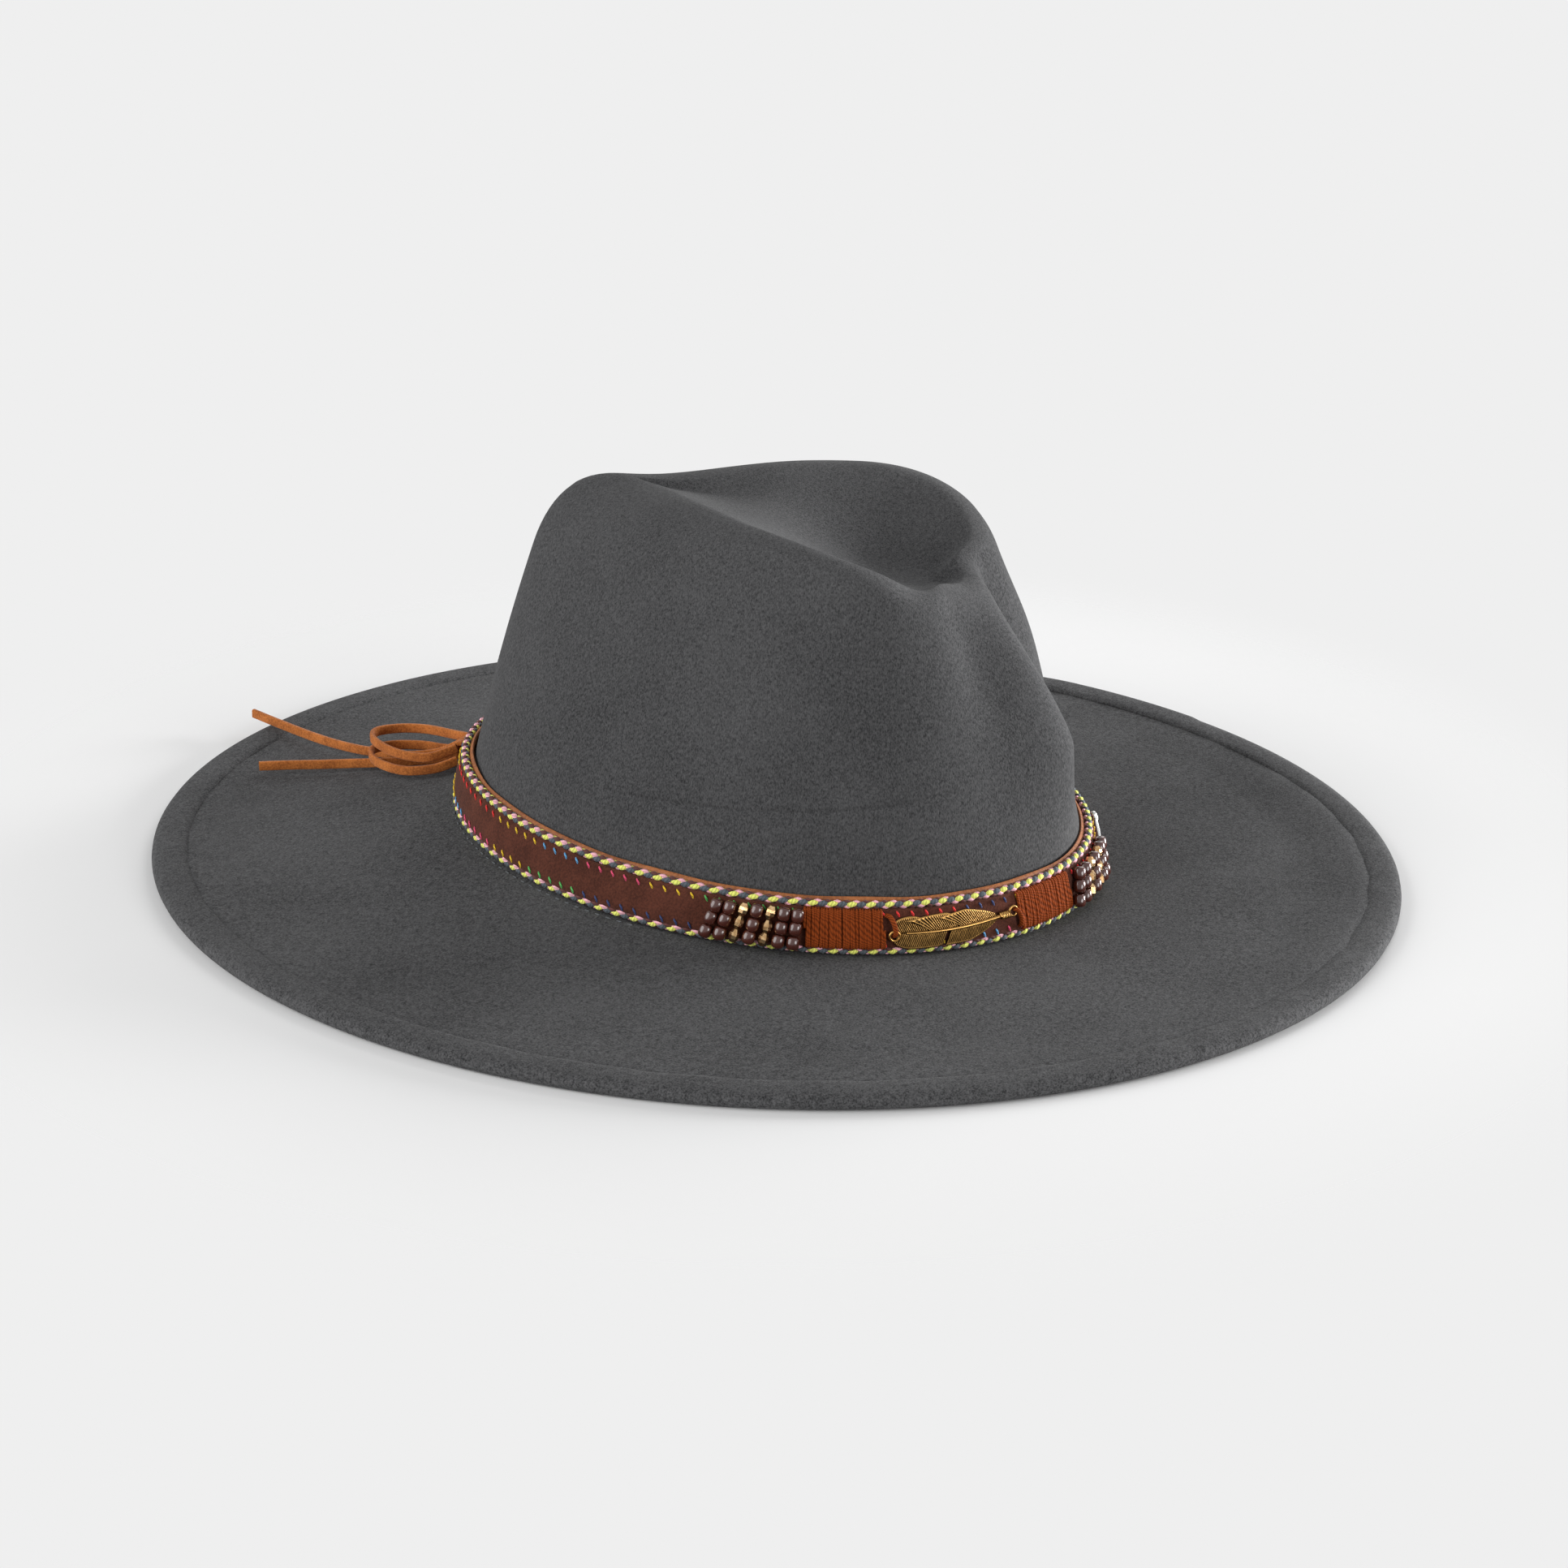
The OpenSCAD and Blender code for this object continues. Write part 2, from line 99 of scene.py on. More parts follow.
@dataclass(frozen=True)
class HoodForm:
    """The felt hood's form in millimetres: its oval brim, leaning wall, folded rim and teardrop dent.

    Angles are degrees of the oval from the front, positive to the wearer's left. The pinches' pairs give the
    wearer's right and left. The other names in _at give an angle and its width, and swell_at also a part of
    the height and its width. Names in _ease give where a change starts and how long it takes.
    """

    brim_length: float = 390.0
    brim_width: float = 354.0
    felt: float = 2.2
    edge_height: float = 5.0
    felt_low: float = 1.4
    brim_ends: Pair = (3.5, 3.55)
    brim_flat: float = 0.06
    brim_fall: Pair = (0.8, 1.6)
    crown_length: float = 197.0
    crown_width: float = 159.0
    crown_height: float = 110.0
    crown_back: float = -1.0
    foot_front: float = 2.45
    foot_rise: float = 12.8
    foot_bend: float = 1.35
    wall_bend: float = 1.18
    shoulder: Triple = (65.0, 72.0, 43.0)
    rim_taper: float = 0.52
    rim_shift: Pair = (5.8, 0.18)
    fold: Pair = (8.0, 26.0)
    fold_bend: float = 1.6
    fold_most: float = 0.8
    tight: float = 0.5
    tight_at: Pair = (-62.0, 45.0)
    steep: float = 0.85
    steep_at: Pair = (-62.0, 55.0)
    ridge: Pair = (16.0, 6.5)
    ridge_ease: Pair = (0.45, 0.5)
    keel: Pair = (0.5, 1.3)
    keel_foot: Pair = (0.1, 0.25)
    pinch: Pair = (2.5, 9.0)
    pinch_at: Pair = (16.0, 17.0)
    pinch_high: Pair = (0.85, 0.75)
    pinch_width: float = 8.0
    pinch_tall: float = 0.28
    swell: float = 3.5
    swell_at: tuple[float, float, float, float] = (42.0, 20.0, 0.65, 0.2)
    notch: float = 2.5
    notch_at: Pair = (-31.0, 10.0)
    sag: float = 0.5
    sag_at: Pair = (-58.0, 34.0)
    tip: Pair = (0.5, -3.0)
    tip_width: float = 6.0
    tip_ease: Pair = (-4.0, 7.0)
    dent: Pair = (20.0, 5.0)
    dent_ease: Pair = (-8.0, 42.0)
    dent_bend: Pair = (0.8, 2.2)
    drop_front: float = 14.2
    drop_length: float = 56.0
    drop_back: float = 3.6
    back_ease: Pair = (5.0, 60.0)
    crease: Pair = (48.0, 40.0)

    def foot_height(self, y: np.ndarray) -> np.ndarray:
        """Height of the crown's foot line at a place along the hat."""
        along = 0.5 + (y - self.crown_back) / self.crown_length
        return self.foot_front + self.foot_rise * np.maximum(0, along) ** self.foot_bend

    def reach(self, th: np.ndarray) -> np.ndarray:
        """Reach of the rim towards the front, longest at the ridge's tip.

        Args:
            th: places round the hat.

        Returns:
            The reach, below 0 at the back.
        """
        c = cos_d(th)
        front, back, _ = self.shoulder
        return c * np.where(c > 0, front, back) + self.tip[0] * bell(from_front(th), self.tip_width)

    def rim_height(self, f: np.ndarray) -> np.ndarray:
        """Height of the rim above the foot line.

        Args:
            f: the rim's reach towards the front.

        Returns:
            The height.
        """
        ahead = f - self.shoulder[0]
        front = self.drop_front * np.clip(1 + ahead / self.drop_length, 0, 1) ** 2
        back = self.drop_back * smooth((-f - self.back_ease[0]) / self.back_ease[1])
        tip = self.tip[1] * smooth((ahead - self.tip_ease[0]) / self.tip_ease[1])
        return self.crown_height - back - front + tip

    def floor_height(self, f: np.ndarray) -> np.ndarray:
        """Height of the dent's floor above the foot line."""
        front, back = self.dent
        return self.crown_height - mix(back, front, smooth((f - self.dent_ease[0]) / self.dent_ease[1]))

    def rim_middle(self, f: np.ndarray) -> np.ndarray:
        """Sideways place of the rim's middle line."""
        return self.rim_shift[0] + self.rim_shift[1] * f

    def rim_side(self, th: np.ndarray) -> np.ndarray:
        """Sideways place of the rim."""
        f, s = self.reach(th), sin_d(th)
        return s * self.shoulder[2] * (1 + self.rim_taper * f / self.shoulder[0]) + self.rim_middle(f) * s * s

    def wall(self, th: np.ndarray, t: np.ndarray) -> np.ndarray:
        """Points of the crown's wall, above the foot line.

        Args:
            th: places round the hat.
            t: part of the wall's height.

        Returns:
            The points.
        """
        turn = from_front(th)
        start, power = self.keel
        share, upright = self.keel_foot
        back = np.clip((t - start) / (1 - start), 0, 1) ** power
        ridge_lean = share * sin_d(90 * np.clip(t / upright, 0, 1)) + (1 - share) * back
        low, length = self.ridge_ease
        spread = mix(*self.ridge, smooth((t - low) / length))
        lean = mix(t**self.wall_bend, ridge_lean, bell(turn, spread))
        depth, at, high = (np.where(turn > 0, b, a) for a, b in (self.pinch, self.pinch_at, self.pinch_high))
        hollow = depth * bell(np.abs(turn) - at, self.pinch_width) * bell(t - high, self.pinch_tall)
        angle, width, middle, tall = self.swell_at
        hollow = hollow - self.swell * bell(turn - angle, width) * bell(t - middle, tall)
        f = mix(self.crown_length / 2 * cos_d(th), self.reach(th), lean) - hollow * cos_d(th)
        side = mix(self.crown_width / 2 * sin_d(th), self.rim_side(th), lean) - hollow * sin_d(th)
        return stack(side, self.crown_back - f, t * self.rim_height(self.reach(th)) - self.dip(turn) * t**3)

    def dip(self, turn: np.ndarray) -> np.ndarray:
        """How far the rim is pressed down beside the front ridge."""
        (notch, narrow), (sag, wide) = self.notch_at, self.sag_at
        return self.notch * bell(turn - notch, narrow) + self.sag * bell(turn - sag, wide)

    def normal(self, th: np.ndarray) -> np.ndarray:
        """Level outward normal of the crown's foot oval."""
        return unit(stack(sin_d(th) / self.crown_width, -cos_d(th) / self.crown_length, 0 * th))

    def lifted(self, points: np.ndarray) -> np.ndarray:
        """Sets points on the tilted foot line.

        Args:
            points: points with their heights above the line.

        Returns:
            The raised points.
        """
        raised = np.array(points, float)
        raised[..., 2] += self.foot_height(raised[..., 1])
        return raised

    def beside(self, th: np.ndarray, height: np.ndarray, out: np.ndarray) -> np.ndarray:
        """Points beside the crown's wall.

        Args:
            th: places round the hat.
            height: heights above the foot line.
            out: distances outside the felt.

        Returns:
            The points.
        """
        th, height, out = np.broadcast_arrays(*(np.asarray(a, float) for a in (th, height, out)))
        on_wall = self.wall(th, height / self.rim_height(self.reach(th)))
        return self.lifted(on_wall + out[..., None] * self.normal(th))

    def degrees_per_mm(self, th: float) -> float:
        """Degrees of the oval that one millimetre along the foot takes."""
        pair = self.beside(np.array([th - 0.5, th + 0.5]), 8.0, 4.0)
        return 1 / float(np.linalg.norm(pair[1] - pair[0]))

    def skin(self, th: np.ndarray, part: np.ndarray) -> np.ndarray:
        """Points of the crown's outer skin.

        Args:
            th: places round the hat.
            part: 0 to 1 up the wall, 1 to 2 over the fold, 2 to 3 down to the crease.

        Returns:
            The points, one for each pair of places.
        """
        th, part = np.broadcast_arrays(th, part)
        turn = from_front(th)
        radius = mix(*self.fold, ((1 - cos_d(th)) / 2) ** self.fold_bend)
        radius = radius * (1 - self.tight * bell(turn - self.tight_at[0], self.tight_at[1]))
        height = self.rim_height(self.reach(th)) - self.dip(turn)
        corner = self.wall(th, np.ones_like(th))
        f = cos_d(th) * np.where(cos_d(th) > 0, *self.crease)
        spine = stack(self.rim_middle(f) * (1 - (f / self.shoulder[0]) ** 2), self.crown_back - f, height)
        way = spine - corner
        length = np.linalg.norm(way, axis=-1)
        top = corner + way * (np.minimum(radius, self.fold_most * length) / length)[..., None]
        start = self.wall(th, 1 - radius / height)
        u, v = np.clip(part - 1, 0, 1)[..., None], np.clip(part - 2, 0, 1)
        wall = self.wall(th, (1 - radius / height) * np.clip(part, 0, 1))
        fold = (1 - u) ** 2 * start + 2 * u * (1 - u) * corner + u * u * top
        floor = mix(top, spine, v[..., None])
        steep = self.steep * bell(turn - self.steep_at[0], self.steep_at[1])
        fall = mix(smooth(v ** self.dent_bend[0]), 1 - (1 - v) ** self.dent_bend[1], steep)
        floor[..., 2] = height + (self.floor_height(f) - height) * fall
        band = part[..., None]
        return self.lifted(np.where(band <= 1, wall, np.where(band <= 2, fold, floor)))

    def brim_edge(self, th: np.ndarray, inward: np.ndarray) -> np.ndarray:
        """Level points inside the brim's edge.

        Args:
            th: places round the hat.
            inward: distances from the edge.

        Returns:
            The points, without a height.
        """
        out = unit(stack(sin_d(th) / self.brim_width, -cos_d(th) / self.brim_length))
        edge = stack(self.brim_width / 2 * sin_d(th), -self.brim_length / 2 * cos_d(th))
        return edge - np.asarray(inward)[..., None] * out

    def brim_top(self, th: np.ndarray, u: np.ndarray) -> np.ndarray:
        """Points of the brim's upper face.

        Args:
            th: places round the hat.
            u: 0 inside the crown's foot to 1 in the bound edge.

        Returns:
            The points.
        """
        inside, tucked = self.brim_ends
        foot = self.beside(th, 0.0, -inside)
        edge = self.brim_edge(th, np.full_like(th, tucked))
        flat = mix(foot[..., :2], edge, u[..., None])
        length, bend = self.brim_fall
        fall = (1 - np.clip((u - self.brim_flat) / length, 0, 1)) ** bend
        start = np.where(u > self.brim_flat, foot[..., 2], self.foot_height(flat[..., 1]))
        return stack(flat[..., 0], flat[..., 1], mix(self.felt_low + self.felt, start, fall))


FORM = HoodForm()
BAND_FOOT = 0.6


def activate(obj: Piece) -> None:
    """Makes one object the only selected and active one.

    Args:
        obj: the object.
    """
    bpy.ops.object.select_all(action="DESELECT")
    obj.select_set(True)
    bpy.context.view_layer.objects.active = obj


def lay_grid(name: str, points: np.ndarray, cap: bool = False, angle: float | None = None) -> Piece:
    """Adds a grid primitive, lays it on a surface and welds the edges that meet.

    Args:
        name: the piece's name.
        points: rows by columns of points in millimetres.
        cap: whether open ends are closed with a face.
        angle: sharpest angle in degrees that is shaded smooth, or None for smooth all over.

    Returns:
        The new piece, with its faces outward and a UV map of columns by rows.
    """
    rows, columns = points.shape[:2]
    bpy.ops.object.select_all(action="DESELECT")
    bpy.ops.mesh.primitive_grid_add(x_subdivisions=columns - 1, y_subdivisions=rows - 1, size=2,
                                    calc_uvs=True)
    obj = bpy.context.active_object
    obj.name = obj.data.name = name
    flat = np.empty(len(obj.data.vertices) * 3)
    obj.data.vertices.foreach_get("co", flat)
    place = (flat.reshape(-1, 3)[:, :2] + 1) / 2 * (columns - 1, rows - 1)
    column, row = np.rint(place).astype(int).T
    obj.data.vertices.foreach_set("co", (points[row, column] * MM).ravel())
    bpy.ops.object.mode_set(mode="EDIT")
    bpy.ops.mesh.select_all(action="SELECT")
    bpy.ops.mesh.remove_doubles(threshold=1e-6)
    if cap:
        bpy.ops.mesh.fill_holes(sides=0)
        bpy.ops.mesh.select_all(action="SELECT")
    bpy.ops.mesh.normals_make_consistent(inside=False)
    bpy.ops.object.mode_set(mode="OBJECT")
    if angle is None:
        bpy.ops.object.shade_smooth()
    else:
        bpy.ops.object.shade_smooth_by_angle(angle=math.radians(angle))
    return obj


def thicken(obj: Piece, thickness: float) -> Piece:
    """Gives a surface a wall on its inner side and applies it.

    Args:
        obj: the surface.
        thickness: the wall's thickness in millimetres.

    Returns:
        The same object.
    """
    activate(obj)
    wall = obj.modifiers.new("wall", "SOLIDIFY")
    wall.thickness = thickness * MM
    wall.offset = -1
    bpy.ops.object.modifier_apply(modifier=wall.name)
    return obj


def join(name: str, parts: list[Piece]) -> Piece:
    """Joins several meshes into one piece.

    Args:
        name: the piece's name.
        parts: the meshes, of which the first is kept.

    Returns:
        The piece.
    """
    activate(parts[0])
    for part in parts:
        part.select_set(True)
    bpy.ops.object.join()
    parts[0].name = parts[0].data.name = name
    return parts[0]


def repeat(name: str, pattern: Piece, places: list[np.ndarray]) -> Piece:
    """Copies one small shape to many places as a single piece and removes the pattern.

    Args:
        name: the piece's name.
        pattern: the shape, modelled in millimetres about the origin.
        places: 4 by 4 matrices in millimetres.

    Returns:
        The piece that holds all copies.
    """
    copies = []
    for place in places:
        copy = pattern.copy()
        copy.data = pattern.data.copy()
        bpy.context.scene.collection.objects.link(copy)
        copy.data.transform(Matrix(place.tolist()))
        copy.data.transform(Matrix.Scale(MM, 4))
        copies.append(copy)
    bpy.data.objects.remove(pattern)
    return join(name, copies)


def tube(path: np.ndarray, side: np.ndarray, width: float | np.ndarray, height: float | np.ndarray,
         corners: int, square: float = 1.0) -> np.ndarray:
    """Works out a tube's rings of points along a path.

    Args:
        path: the points it follows.
        side: for each point, or for all, a direction that its width roughly follows.
        width: size along that direction.
        height: size across it.
        corners: points in each ring.
        square: 1 for an oval section, less for a squarer one.

    Returns:
        Rows of rings, each closed on itself.
    """
    ahead = unit(np.gradient(path, axis=0))
    if np.allclose(path[0], path[-1]):
        ahead[0] = ahead[-1] = unit(path[1] - path[-2])
    across = unit(np.cross(np.cross(ahead, np.broadcast_to(side, path.shape)), ahead))
    over = np.cross(ahead, across)
    angle = np.linspace(0, 2 * np.pi, corners + 1)
    c, s = np.cos(angle), np.sin(angle)
    wide = np.broadcast_to(width, len(path))[:, None] / 2 * np.sign(c) * np.abs(c) ** square
    tall = np.broadcast_to(height, len(path))[:, None] / 2 * np.sign(s) * np.abs(s) ** square
    rings = path[:, None] + wide[..., None] * across[:, None] + tall[..., None] * over[:, None]
    rings[:, -1] = rings[:, 0]
    return rings


def curve_through(route: np.ndarray, steps: int) -> np.ndarray:
    """Draws a smooth curve through a route's points.

    Args:
        route: the points.
        steps: number of steps from each point to the next.

    Returns:
        The curve's points.
    """
    padded = np.vstack([2 * route[0] - route[1], route, 2 * route[-1] - route[-2]])
    t = np.linspace(0, 1, steps, endpoint=False)[:, None]
    parts = [0.5 * (2 * b + (c - a) * t + (2 * a - 5 * b + 4 * c - d) * t**2 + (3 * b - a - 3 * c + d) * t**3)
             for a, b, c, d in zip(padded, padded[1:], padded[2:], padded[3:])]
    return np.vstack([*parts, route[-1:]])


def round_hat(steps: int) -> np.ndarray:
    """Places all round the hat, with the first repeated at the end."""
    return np.linspace(-180, 180, steps + 1)


class Val:
    """A node's output that takes part in Python arithmetic by adding Math nodes."""

    def __init__(self, bench: "Bench", socket: bpy.types.NodeSocket) -> None:
        """Wraps a socket of a bench's node tree."""
        self.bench, self.socket = bench, socket

    def _math(self, operation: str, *values: "Val | float") -> "Val":
        """Adds one Math node."""
        return self.bench.node("ShaderNodeMath", {"operation": operation}, dict(enumerate(values)))

    def __add__(self, other: "Val | float") -> "Val":
        """Adds."""
        return self._math("ADD", self, other)

    __radd__ = __add__

    def __mul__(self, other: "Val | float") -> "Val":
        """Multiplies."""
        return self._math("MULTIPLY", self, other)

    __rmul__ = __mul__

    def __rsub__(self, other: float) -> "Val":
        """Subtracts from a number."""
        return self._math("SUBTRACT", other, self)

    def span(self, low: float, high: float) -> "Val":
        """Maps low to 0 and high to 1 with a smooth step."""
        return self.bench.node("ShaderNodeMapRange", {"interpolation_type": "SMOOTHSTEP"},
                               {"Value": self, "From Min": low, "From Max": high})


class Bench:
    """One material's node tree, built node by node."""

    def __init__(self, name: str) -> None:
        """Starts a material with a plain principled shader.

        Args:
            name: the material's name.
        """
        self.material = bpy.data.materials.new(name)
        self.material.use_nodes = True
        self.tree = self.material.node_tree
        self.shader = self.tree.nodes["Principled BSDF"]
        self.coords = self.tree.nodes.new("ShaderNodeTexCoord")

    def node(self, kind: str, settings: dict, inputs: dict, output: int | str = 0) -> Val:
        """Adds a node.

        Args:
            kind: the node's type.
            settings: its properties.
            inputs: values or links by socket name or number.
            output: the output that is handed back.

        Returns:
            The wrapped output.
        """
        made = self.tree.nodes.new(kind)
        for key, value in settings.items():
            setattr(made, key, value)
        for key, value in inputs.items():
            self.feed(made.inputs[key], value)
        return Val(self, made.outputs[output])

    def feed(self, socket: bpy.types.NodeSocket, value: "Val | float | tuple") -> None:
        """Links a wrapped output to a socket, or sets the socket's own value.

        Args:
            socket: the socket.
            value: the output, a number or a colour.
        """
        if isinstance(value, Val):
            self.tree.links.new(value.socket, socket)
        elif isinstance(value, tuple) and len(value) == 3 and socket.type == "RGBA":
            socket.default_value = (*value, 1)
        else:
            socket.default_value = value

    def place(self, output: str = "Object", scale: Triple = (1, 1, 1)) -> Val:
        """Gives the piece's own coordinates or UV map, stretched."""
        own = Val(self, self.coords.outputs[output])
        return self.node("ShaderNodeMapping", {}, {"Vector": own, "Scale": scale})

    def noise(self, where: Val, scale: float, detail: float = 3.0, roughness: float = 0.6) -> Val:
        """Adds a noise of a number of cells per metre or per unit of the UV map."""
        return self.node("ShaderNodeTexNoise", {},
                         {"Vector": where, "Scale": scale, "Detail": detail, "Roughness": roughness})

    def blend(self, share: "Val | float", low: "Val | tuple", high: "Val | tuple") -> Val:
        """Mixes two colours."""
        return self.node("ShaderNodeMix", {"data_type": "RGBA"}, {0: share, 6: low, 7: high}, 2)

    def relief(self, height: Val, strength: float, depth: float) -> None:
        """Feeds the shader's normal from a height, with its depth in millimetres."""
        self.set(Normal=self.node("ShaderNodeBump", {},
                                  {"Strength": strength, "Distance": depth * MM, "Height": height}))

    def set(self, **sockets: "Val | float | tuple") -> None:
        """Feeds the shader's sockets, with an underscore for each space in a name."""
        for key, value in sockets.items():
            self.feed(self.shader.inputs[key.replace("_", " ")], value)


def linear(red: int, green: int, blue: int) -> Triple:
    """Turns a screen colour of 0 to 255 into a linear one."""
    shares = [c / 255 for c in (red, green, blue)]
    return tuple(s / 12.92 if s <= 0.04045 else ((s + 0.055) / 1.055) ** 2.4 for s in shares)


@dataclass(frozen=True)
class Surface:
    """A named finish."""

    name: str

    def material(self) -> bpy.types.Material:
        """Builds the finish.

        Returns:
            The material.
        """
        bench = Bench(self.name)
        self.paint(bench)
        return bench.material

    def paint(self, bench: Bench) -> None:
        """Adds the finish's own nodes."""
        raise NotImplementedError


@dataclass(frozen=True)
class Felt(Surface):
    """Grey wool felt with a short brushed nap, stretched down the crown's wall or even on the brim."""

    dark: tuple
    light: tuple
    hair: float
    clump: float
    stretch: float

    def paint(self, bench: Bench) -> None:
        """Adds the finish's own nodes.

        Args:
            bench: the material's node tree.
        """
        where = bench.place()
        hair = bench.noise(bench.place("Object", (1.0, 1.0, 1 / self.stretch)), self.hair, 2.0, 0.65)
        clump = bench.noise(where, self.clump, 3.0, 0.6)
        cloud = bench.noise(where, 18, 2.0)
        shade = hair * 0.55 + clump * 0.3 + cloud * 0.15
        bench.set(Base_Color=bench.blend(shade.span(0.3, 0.7), self.dark, self.light), Roughness=0.95,
                  Sheen_Weight=0.04, Sheen_Roughness=0.5, Specular_IOR_Level=0.1)
        bench.relief(hair * 0.7 + clump * 0.6, 0.4, 0.35)


@dataclass(frozen=True)
class Hide(Surface):
    """Leather or suede: two tones, a grain and its gloss."""

    dark: tuple
    light: tuple
    grain: float
    roughness: float
    depth: float
    sheen: float = 0.0

    def paint(self, bench: Bench) -> None:
        """Adds the finish's own nodes.

        Args:
            bench: the material's node tree.
        """
        where = bench.place()
        fine = bench.noise(where, self.grain, 3.0, 0.65)
        broad = bench.noise(where, self.grain / 14, 2.0)
        shade = fine * 0.6 + broad * 0.4
        bench.set(Base_Color=bench.blend(shade.span(0.33, 0.67), self.dark, self.light),
                  Roughness=self.roughness - 0.12 + fine * 0.24,
                  Specular_IOR_Level=0.9 - 0.75 * self.roughness,
                  Sheen_Weight=self.sheen, Sheen_Roughness=0.5)
        bench.relief(fine, 0.6, self.depth)


@dataclass(frozen=True)
class Yarn(Surface):
    """Twisted thread, its plies drawn along the piece's own UV map, with painted shade in the grooves between
    plies and a painted highlight on their crests.
    """

    colour: tuple
    turns: int
    plies: int = 2
    # how dark the painted shade in the grooves between plies is, as a share of the thread's colour
    ply_shade: float = 0.5
    shine: float = 1.0

    def paint(self, bench: Bench) -> None:
        """Adds the finish's own nodes.

        Args:
            bench: the material's node tree.
        """
        cycle = 2 * math.pi / 10
        where = bench.place("UV", (cycle * self.plies, cycle * self.turns, 1))
        ply = bench.node("ShaderNodeTexWave", {"bands_direction": "DIAGONAL"},
                         {"Vector": where, "Scale": 1.0, "Distortion": 2.2, "Detail": 1.0}, "Fac")
        fuzz = bench.noise(bench.place(), 2400, 2.0)
        # Painted shade and painted highlight: the ply pattern blends a darker copy of the thread's colour
        # into the grooves between plies and a lighter copy onto their crests; the fuzz noise adds random
        # tone.
        dark = tuple(c * self.ply_shade for c in self.colour)
        light = tuple(min(1.0, c * 1.2) for c in self.colour)
        bench.set(Base_Color=bench.blend((ply * 0.65 + fuzz * 0.5).span(0.15, 0.85), dark, light),
                  Roughness=0.75, Specular_IOR_Level=0.5 * self.shine,
                  Sheen_Weight=0.15 * self.shine, Sheen_Roughness=0.4)
        bench.relief(ply * 0.6 + fuzz * 0.4, 0.45, 0.15)


@dataclass(frozen=True)
class Metal(Surface):
    """Cast metal with darker recesses where a piece carries a relief attribute."""

    bright: tuple
    patina: tuple
    roughness: float
    relief: bool = False

    def paint(self, bench: Bench) -> None:
        """Adds the finish's own nodes.

        Args:
            bench: the material's node tree.
        """
        wear = bench.noise(bench.place(), 700, 3.0)
        worn = wear.span(0.25, 0.75)
        if self.relief:
            height = bench.node("ShaderNodeAttribute", {"attribute_name": "relief"}, {}, "Fac")
            worn = (height * 0.85 + worn * 0.2).span(0.2, 1.0)
        bench.set(Base_Color=bench.blend(worn, self.patina, self.bright), Metallic=1.0,
                  Roughness=self.roughness + (1 - worn) * 0.2)
        bench.relief(wear, 0.15, 0.1)


@dataclass(frozen=True)
class Gloss(Surface):
    """Glossy moulded bead."""

    dark: tuple
    light: tuple

    def paint(self, bench: Bench) -> None:
        """Adds the finish's own nodes.

        Args:
            bench: the material's node tree.
        """
        swirl = bench.noise(bench.place(), 260, 2.0)
        bench.set(Base_Color=bench.blend(swirl, self.dark, self.light), Roughness=0.2 + swirl * 0.1,
                  Coat_Weight=0.6, Coat_Roughness=0.08)
        bench.relief(swirl, 0.1, 0.1)


class Finish(Enum):
    """The finishes of the hat's pieces."""

    FELT = Felt("crown_grey", linear(41, 41, 42), linear(91, 91, 92), 2700, 1000, 2.4)
    BRIM = Felt("brim_grey", linear(37, 37, 38), linear(95, 95, 96), 1800, 640, 1.0)
    TAN = Hide("tan_leather", linear(120, 66, 32), linear(172, 106, 58), 1100, 0.62, 0.12)
    SUEDE = Hide("brown_suede", linear(60, 30, 21), linear(94, 52, 39), 1500, 0.95, 0.3, 0.05)
    LACE = Hide("tan_suede_lace", linear(134, 72, 28), linear(196, 118, 56), 1700, 0.92, 0.25, 0.1)
    LINING = Hide("dark_leather", linear(44, 40, 38), linear(64, 58, 54), 900, 0.6, 0.15)
    YELLOW = Yarn("yellow_cord", linear(224, 228, 110), 620, 3, 0.7)
    GREY = Yarn("slate_cord", linear(74, 82, 90), 620, 3, 0.6)
    PINK = Yarn("pink_cord", linear(232, 172, 184), 620, 3, 0.7)
    BROWN = Yarn("brown_cord", linear(84, 40, 36), 620, 3, 0.6)
    WRAP = Yarn("rust_yarn", linear(134, 60, 20), 880, 2, 0.5, 0.2)
    TIE = Yarn("rust_tie", linear(134, 60, 20), 14, 4, 0.4, 0.2)
    SEAM = Yarn("seam_thread", linear(96, 100, 104), 2)
    GOLD_STITCH = Yarn("gold_stitch", linear(232, 190, 36), 2)
    RED_STITCH = Yarn("red_stitch", linear(224, 40, 36), 2)
    BLUE_STITCH = Yarn("blue_stitch", linear(92, 158, 206), 2)
    ROSE_STITCH = Yarn("rose_stitch", linear(222, 74, 112), 2)
    GREEN_STITCH = Yarn("green_stitch", linear(88, 178, 88), 2)
    NAVY_STITCH = Yarn("navy_stitch", linear(44, 58, 104), 2)
    BRASS = Metal("antique_brass", linear(172, 132, 76), linear(28, 18, 9), 0.28, True)
    RING = Metal("brass_wire", linear(206, 158, 90), linear(110, 76, 36), 0.26)
    SILVER = Metal("silver", linear(212, 212, 210), linear(150, 150, 150), 0.2)
    WIRE = Metal("drawn_wire", linear(190, 190, 192), linear(150, 150, 154), 0.35)
    BEAD = Gloss("brown_bead", linear(58, 24, 17), linear(82, 38, 28))
    GILT = Metal("gilt_bead", linear(226, 192, 146), linear(160, 122, 78), 0.12)

    def dress(self, obj: Piece) -> None:
        """Gives a piece this finish, making the material when it is first used.

        Args:
            obj: the piece.
        """
        material = bpy.data.materials.get(_made.get(self, "")) or self.value.material()
        _made[self] = material.name
        obj.data.materials.clear()
        obj.data.materials.append(material)


_made: dict[Finish, str] = {}


